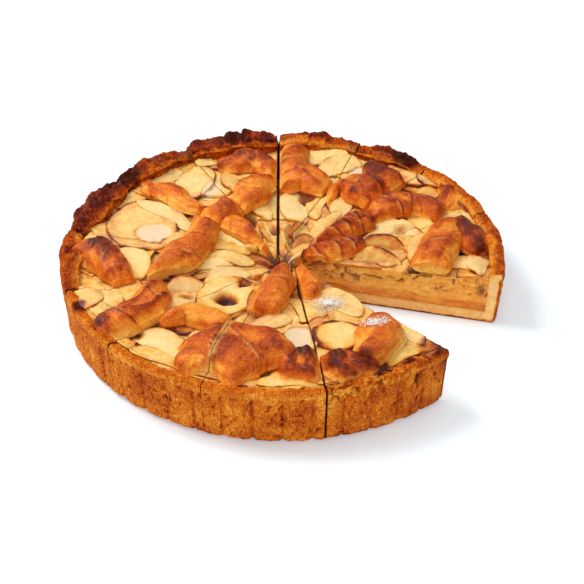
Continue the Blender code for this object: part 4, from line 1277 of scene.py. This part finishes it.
def strip_spine(knots):
    """Rows of a strip from end to end: middle, direction, half width, and share of its full size."""
    length = sum(math.dist(p[:2], q[:2]) for p, q in zip(knots, knots[1:]))
    path = smooth_path(knots, int(length * 1.6) + 12)
    way = np.gradient(path[:, :2], axis=0)
    way /= np.linalg.norm(way, axis=1, keepdims=True)
    opening = np.linspace(0.0, math.pi / 2, CAP_ROWS, endpoint=False)
    closing = np.r_[opening[1:], math.pi / 2]
    first, last = path[0], path[-1]
    middles = np.concatenate([
        first[:2] - np.outer(np.cos(opening), way[0] * first[2] * CAP_LENGTH), path[:, :2],
        last[:2] + np.outer(np.sin(closing), way[-1] * last[2] * CAP_LENGTH)])
    size = np.maximum(CAP_TIP, np.r_[np.sin(opening), np.ones(len(path)), np.cos(closing)])
    along = np.pad(way, ((CAP_ROWS, CAP_ROWS), (0, 0)), mode="edge")
    return length, middles, along, np.pad(path[:, 2], CAP_ROWS, mode="edge") * size, size


def strip_surface(row, seed):
    """Grid of a strip's surface from end to end, and its tones."""
    name, slices, height, brown, twist, rough, knots, creases = row
    length, middles, along, half, size = strip_spine(knots)
    share = np.linspace(0.0, 1.0, len(middles))[:, None]
    spot = np.concatenate([middles, np.full((len(middles), 1), seed * 9.0)], 1)
    half = (half * (1.03 + 0.20 * noise(spot, 11.0, 221)))[:, None]
    phi = np.linspace(0.0, math.tau, STRIP_COLUMNS, endpoint=False)[None, :]
    cu, cv = np.cos(phi), np.sin(phi)
    # the section is a pillow with a thin foot that spreads where it touches the apples
    side_cu = np.sign(cu) * np.abs(cu) ** 0.80 * (1.0 + 0.10 * bell(cv, 0.20))
    cv = np.where(cv > 0, np.abs(cv) ** 1.05, -0.35 * np.abs(cv) ** 0.7)
    side = np.stack([-along[:, 1], along[:, 0]], -1)
    lean = 0.42 * noise(spot, 17.0, 223)[:, None] * unit(cv)
    xy = middles[:, None, :] + side[:, None, :] * (half * (side_cu + lean))[..., None]
    floor = strip_floor(middles[:, 0], middles[:, 1])[:, None]
    arch = 0.82 + 0.22 * np.sin(math.pi * share) + 0.12 * noise(spot, 14.0, 225)[:, None]
    tall = height * arch * (0.34 + 0.66 * size ** 0.9)[:, None]
    z = floor + 0.20 * tall + 0.80 * tall * cv
    points = np.concatenate([xy, z[..., None]], -1)
    upper = unit(cv) * np.ones_like(z)
    out = normals(points)
    centre = np.concatenate([middles, floor + 0.3 * tall], 1)[:, None, :]
    out = np.where(np.sum(out * (points - centre), -1, keepdims=True) < 0, -out, out)
    # long folds that run slantwise along the strip, with sharp crests
    lumps = fractal(points, 12.0, 201 + seed)
    run = share * length
    slant = np.stack([
        run * 0.55 + 0 * z, cu * half * 1.3 + run * (0.35 + 0.3 * twist), np.full_like(z, seed * 17.0)], -1)
    folding = np.abs(noise(slant, 9.5, 209))
    fold = 1.0 - unit(folding * 2.6)
    valley = smooth(folding, 0.32, 0.55)
    crack = fall(np.abs(noise(slant + 0.8 * lumps[..., None], 8.0, 231)), 0.0, 0.07)
    crack = crack * patches(points, 9.0, 233, 0.0, 0.3)
    move = 0.8 * lumps + 1.2 * fold - 0.9 * valley + 0.30 * noise(points, 4.5, 203 + seed) - 0.55 * crack
    move = move + 0.20 * fractal(points, 2.2, 205, 2) + rough * 2.3 * fractal(points, 4.5, 219)
    # creases: a line, the step behind it and the torn skin before it
    crease_all, torn = np.zeros_like(z), np.zeros_like(z)
    for where, depth, tilt in creases:
        away = (share - where) * length + tilt * cu * half + 1.6 * cu * cu + 1.0 * noise(points, 8.0, 207)
        line = bell(away, 0.5)
        step = np.exp(-np.maximum(away, 0.0) / 6.0) * smooth(away, -0.3, 0.5)
        move = move + depth * (step - 0.6 * line) * smooth(upper, 0.0, 0.5)
        torn = np.maximum(torn, bell(away + 1.1, 0.7) * patches(points, 5.0, 229, -0.3, 0.3))
        crease_all = np.maximum(crease_all, line * min(depth, 1.2) / 1.2)
    groove = bell(np.sin(cu * 9.0 + 2.5 * lumps + share * 3.0) + 1.0, 0.28) * twist
    move = move - 0.6 * groove * smooth(upper, 0.1, 0.5)
    ends = {s - 1 for s in slices} ^ set(slices)
    knife = bell(near_cut(points, ends), 3.6)
    body = smooth(size, 0.1, 0.6)[:, None]
    points = points + out * (move * body * np.where(upper > 0, 1.0, 0.4))[..., None]
    points[..., 2] -= 0.50 * tall * knife * upper
    # tones, by how far above the apples each point is
    ground = support(points[..., 0], points[..., 1])
    over = np.clip((points[..., 2] - ground) / np.maximum(floor + tall - ground, 4.0), -1.0, 1.2)
    browned = 0.72 * brown - 0.18 * fall(over, 0.0, 0.34) + 0.18 * smooth(over, 0.6, 1.05) + 0.17 * lumps
    # painted shade: browner in the grooves, and darker along the creases and cracks
    browned = browned + 0.14 * fold * (over > 0.3) - 0.12 * valley - 0.14 * knife + 0.10 * groove
    browned = browned + 0.19 * np.maximum(crease_all, 0.7 * crack) * smooth(over, 0.1, 0.4)
    browned = browned + 0.10 * fall(size, 0.3, 1.0)[:, None] * (brown > 0.5)
    burn_and_shade = 0.12 * crease_all + 0.45 * smooth(lumps, 0.34, 0.66) * (brown > 0.56) * smooth(over, 0.4, 0.8)
    burn_and_shade = np.maximum(burn_and_shade, 0.48 * scorch(points) * smooth(over, 0.15, 0.5))
    burn_and_shade = np.maximum(burn_and_shade, rough * 0.45 * smooth(over, 0.40, 0.75) * patches(points, 5.0, 216, -0.3, 0.3))
    pale = 0.22 * fall(over, -0.1, 0.18) * patches(points, 6.0, 213, -0.5, 0.5)
    pale = np.maximum(pale, 0.32 * torn * (over > 0.2))
    pale = np.maximum(pale, rough * 0.22 * patches(points, 4.0, 215, 0.1, 0.4) * fall(over, 0.3, 0.6))
    pale = pale * (1.0 - burn_and_shade)
    if name == "front_leaf":
        away = near_cut(points, (10,)) + 1.2 * noise(points, 5.0, 217)
        pale = np.maximum(pale, 0.5 * fall(away, 0.4, 2.6))
    return points, paint(browned, pale, burn_and_shade, upper * 0.9)


def strip_floor(x, y):
    """Height at which the foot of a strip lies."""
    return heap_height(x, y) - 2.25


def strip_top(surface, x, y):
    """Height of a strip at a place, from the points of its surface near it."""
    away = np.hypot(surface[:, 0] - x, surface[:, 1] - y)
    return surface[away < 2.2][:, 2].max(initial=surface[np.argmin(away), 2])


def make_strips():
    """The strips of dough, cut where a knife line crosses them."""
    rng = np.random.default_rng(DOUGH_SEED)
    for seed, row in enumerate(STRIPS):
        name, slices = row[:2]
        points, tones = strip_surface(row, seed)
        faces = blob_faces(*points.shape[:2])
        for number in slices:
            shape = Shape()
            if within(points, number - 1).all():
                shape.add(points, tones, faces, [0] * len(faces))
            else:
                shape.add(*cut_shape(points, tones, faces, number - 1))
            if name == SUGARED_STRIP:
                surface = points.reshape(-1, 3)
                sugar = grains(rng, *SUGAR_ON_STRIP, lambda x, y: strip_top(surface, x, y))
                shape.add(*sugar, [2] * len(sugar[2]))
            ending = "" if len(slices) == 1 else "_%02d" % number
            materials = [DOUGH, DOUGH] + [SUGAR] * (name == SUGARED_STRIP)
            shape.build("strip_" + name + ending, materials, "dough")


# Stage, light and camera

FLOOR_SIZE = 12.0
FLOOR_DROP = 0.0004
LIGHTS = [
    ("key", (-0.75, 0.35, 1.15), 13.5, 0.6),
    ("top", (0.25, 0.15, 1.5), 5.0, 0.9),
    ("front", (-0.25, -1.4, 0.7), 6.5, 0.8),
]
CAMERA_PLACE = (0.0, -0.5586, 0.4219)
CAMERA_LENS = 65.12
CAMERA_SHIFT = 0.0163


def make_stage():
    """A pale floor under a pale sky."""
    bpy.ops.mesh.primitive_plane_add(size=FLOOR_SIZE, location=(0.0, 0.0, -FLOOR_DROP))
    floor = bpy.context.object
    floor.name = "stage_floor"
    g = Graph("floor_paint")
    colour = g.mix(g.noise(60.0, 2.0), (0.83, 0.91, 0.97, 1.0), (0.85, 0.93, 0.99, 1.0))
    floor.data.materials.append(g.finish(colour, 0.9, g.bump(g.noise(2.0), 0.02, 0.1), Emission_Strength=0.22,
                                         Emission_Color=(0.86, 0.94, 1.0, 1.0)))
    world = bpy.data.worlds.new("studio")
    bpy.context.scene.world = world
    world.use_nodes = True
    sky = world.node_tree.nodes["Background"]
    sky.inputs["Color"].default_value = (1.0, 0.97, 0.92, 1.0)
    sky.inputs["Strength"].default_value = 0.38
    bpy.context.scene.view_settings.view_transform = "Standard"


def aim(obj, place):
    """Put an object in the scene, turned towards the middle of the base."""
    obj.location = place
    obj.rotation_euler = (-Vector(place)).to_track_quat("-Z", "Y").to_euler()
    bpy.context.scene.collection.objects.link(obj)


def make_lights():
    for name, place, power, size in LIGHTS:
        light = bpy.data.lights.new(name, "AREA")
        light.energy = power
        light.size = size
        aim(bpy.data.objects.new(name, light), place)


def make_camera():
    camera = bpy.data.cameras.new("camera")
    camera.sensor_width = 36.0
    camera.lens = CAMERA_LENS
    camera.shift_x = CAMERA_SHIFT
    camera.clip_start = 0.01
    obj = bpy.data.objects.new("camera", camera)
    aim(obj, CAMERA_PLACE)
    bpy.context.scene.camera = obj


def main():
    make_crusts()
    make_fillings()
    make_strips()
    make_stage()
    make_lights()
    make_camera()


main()
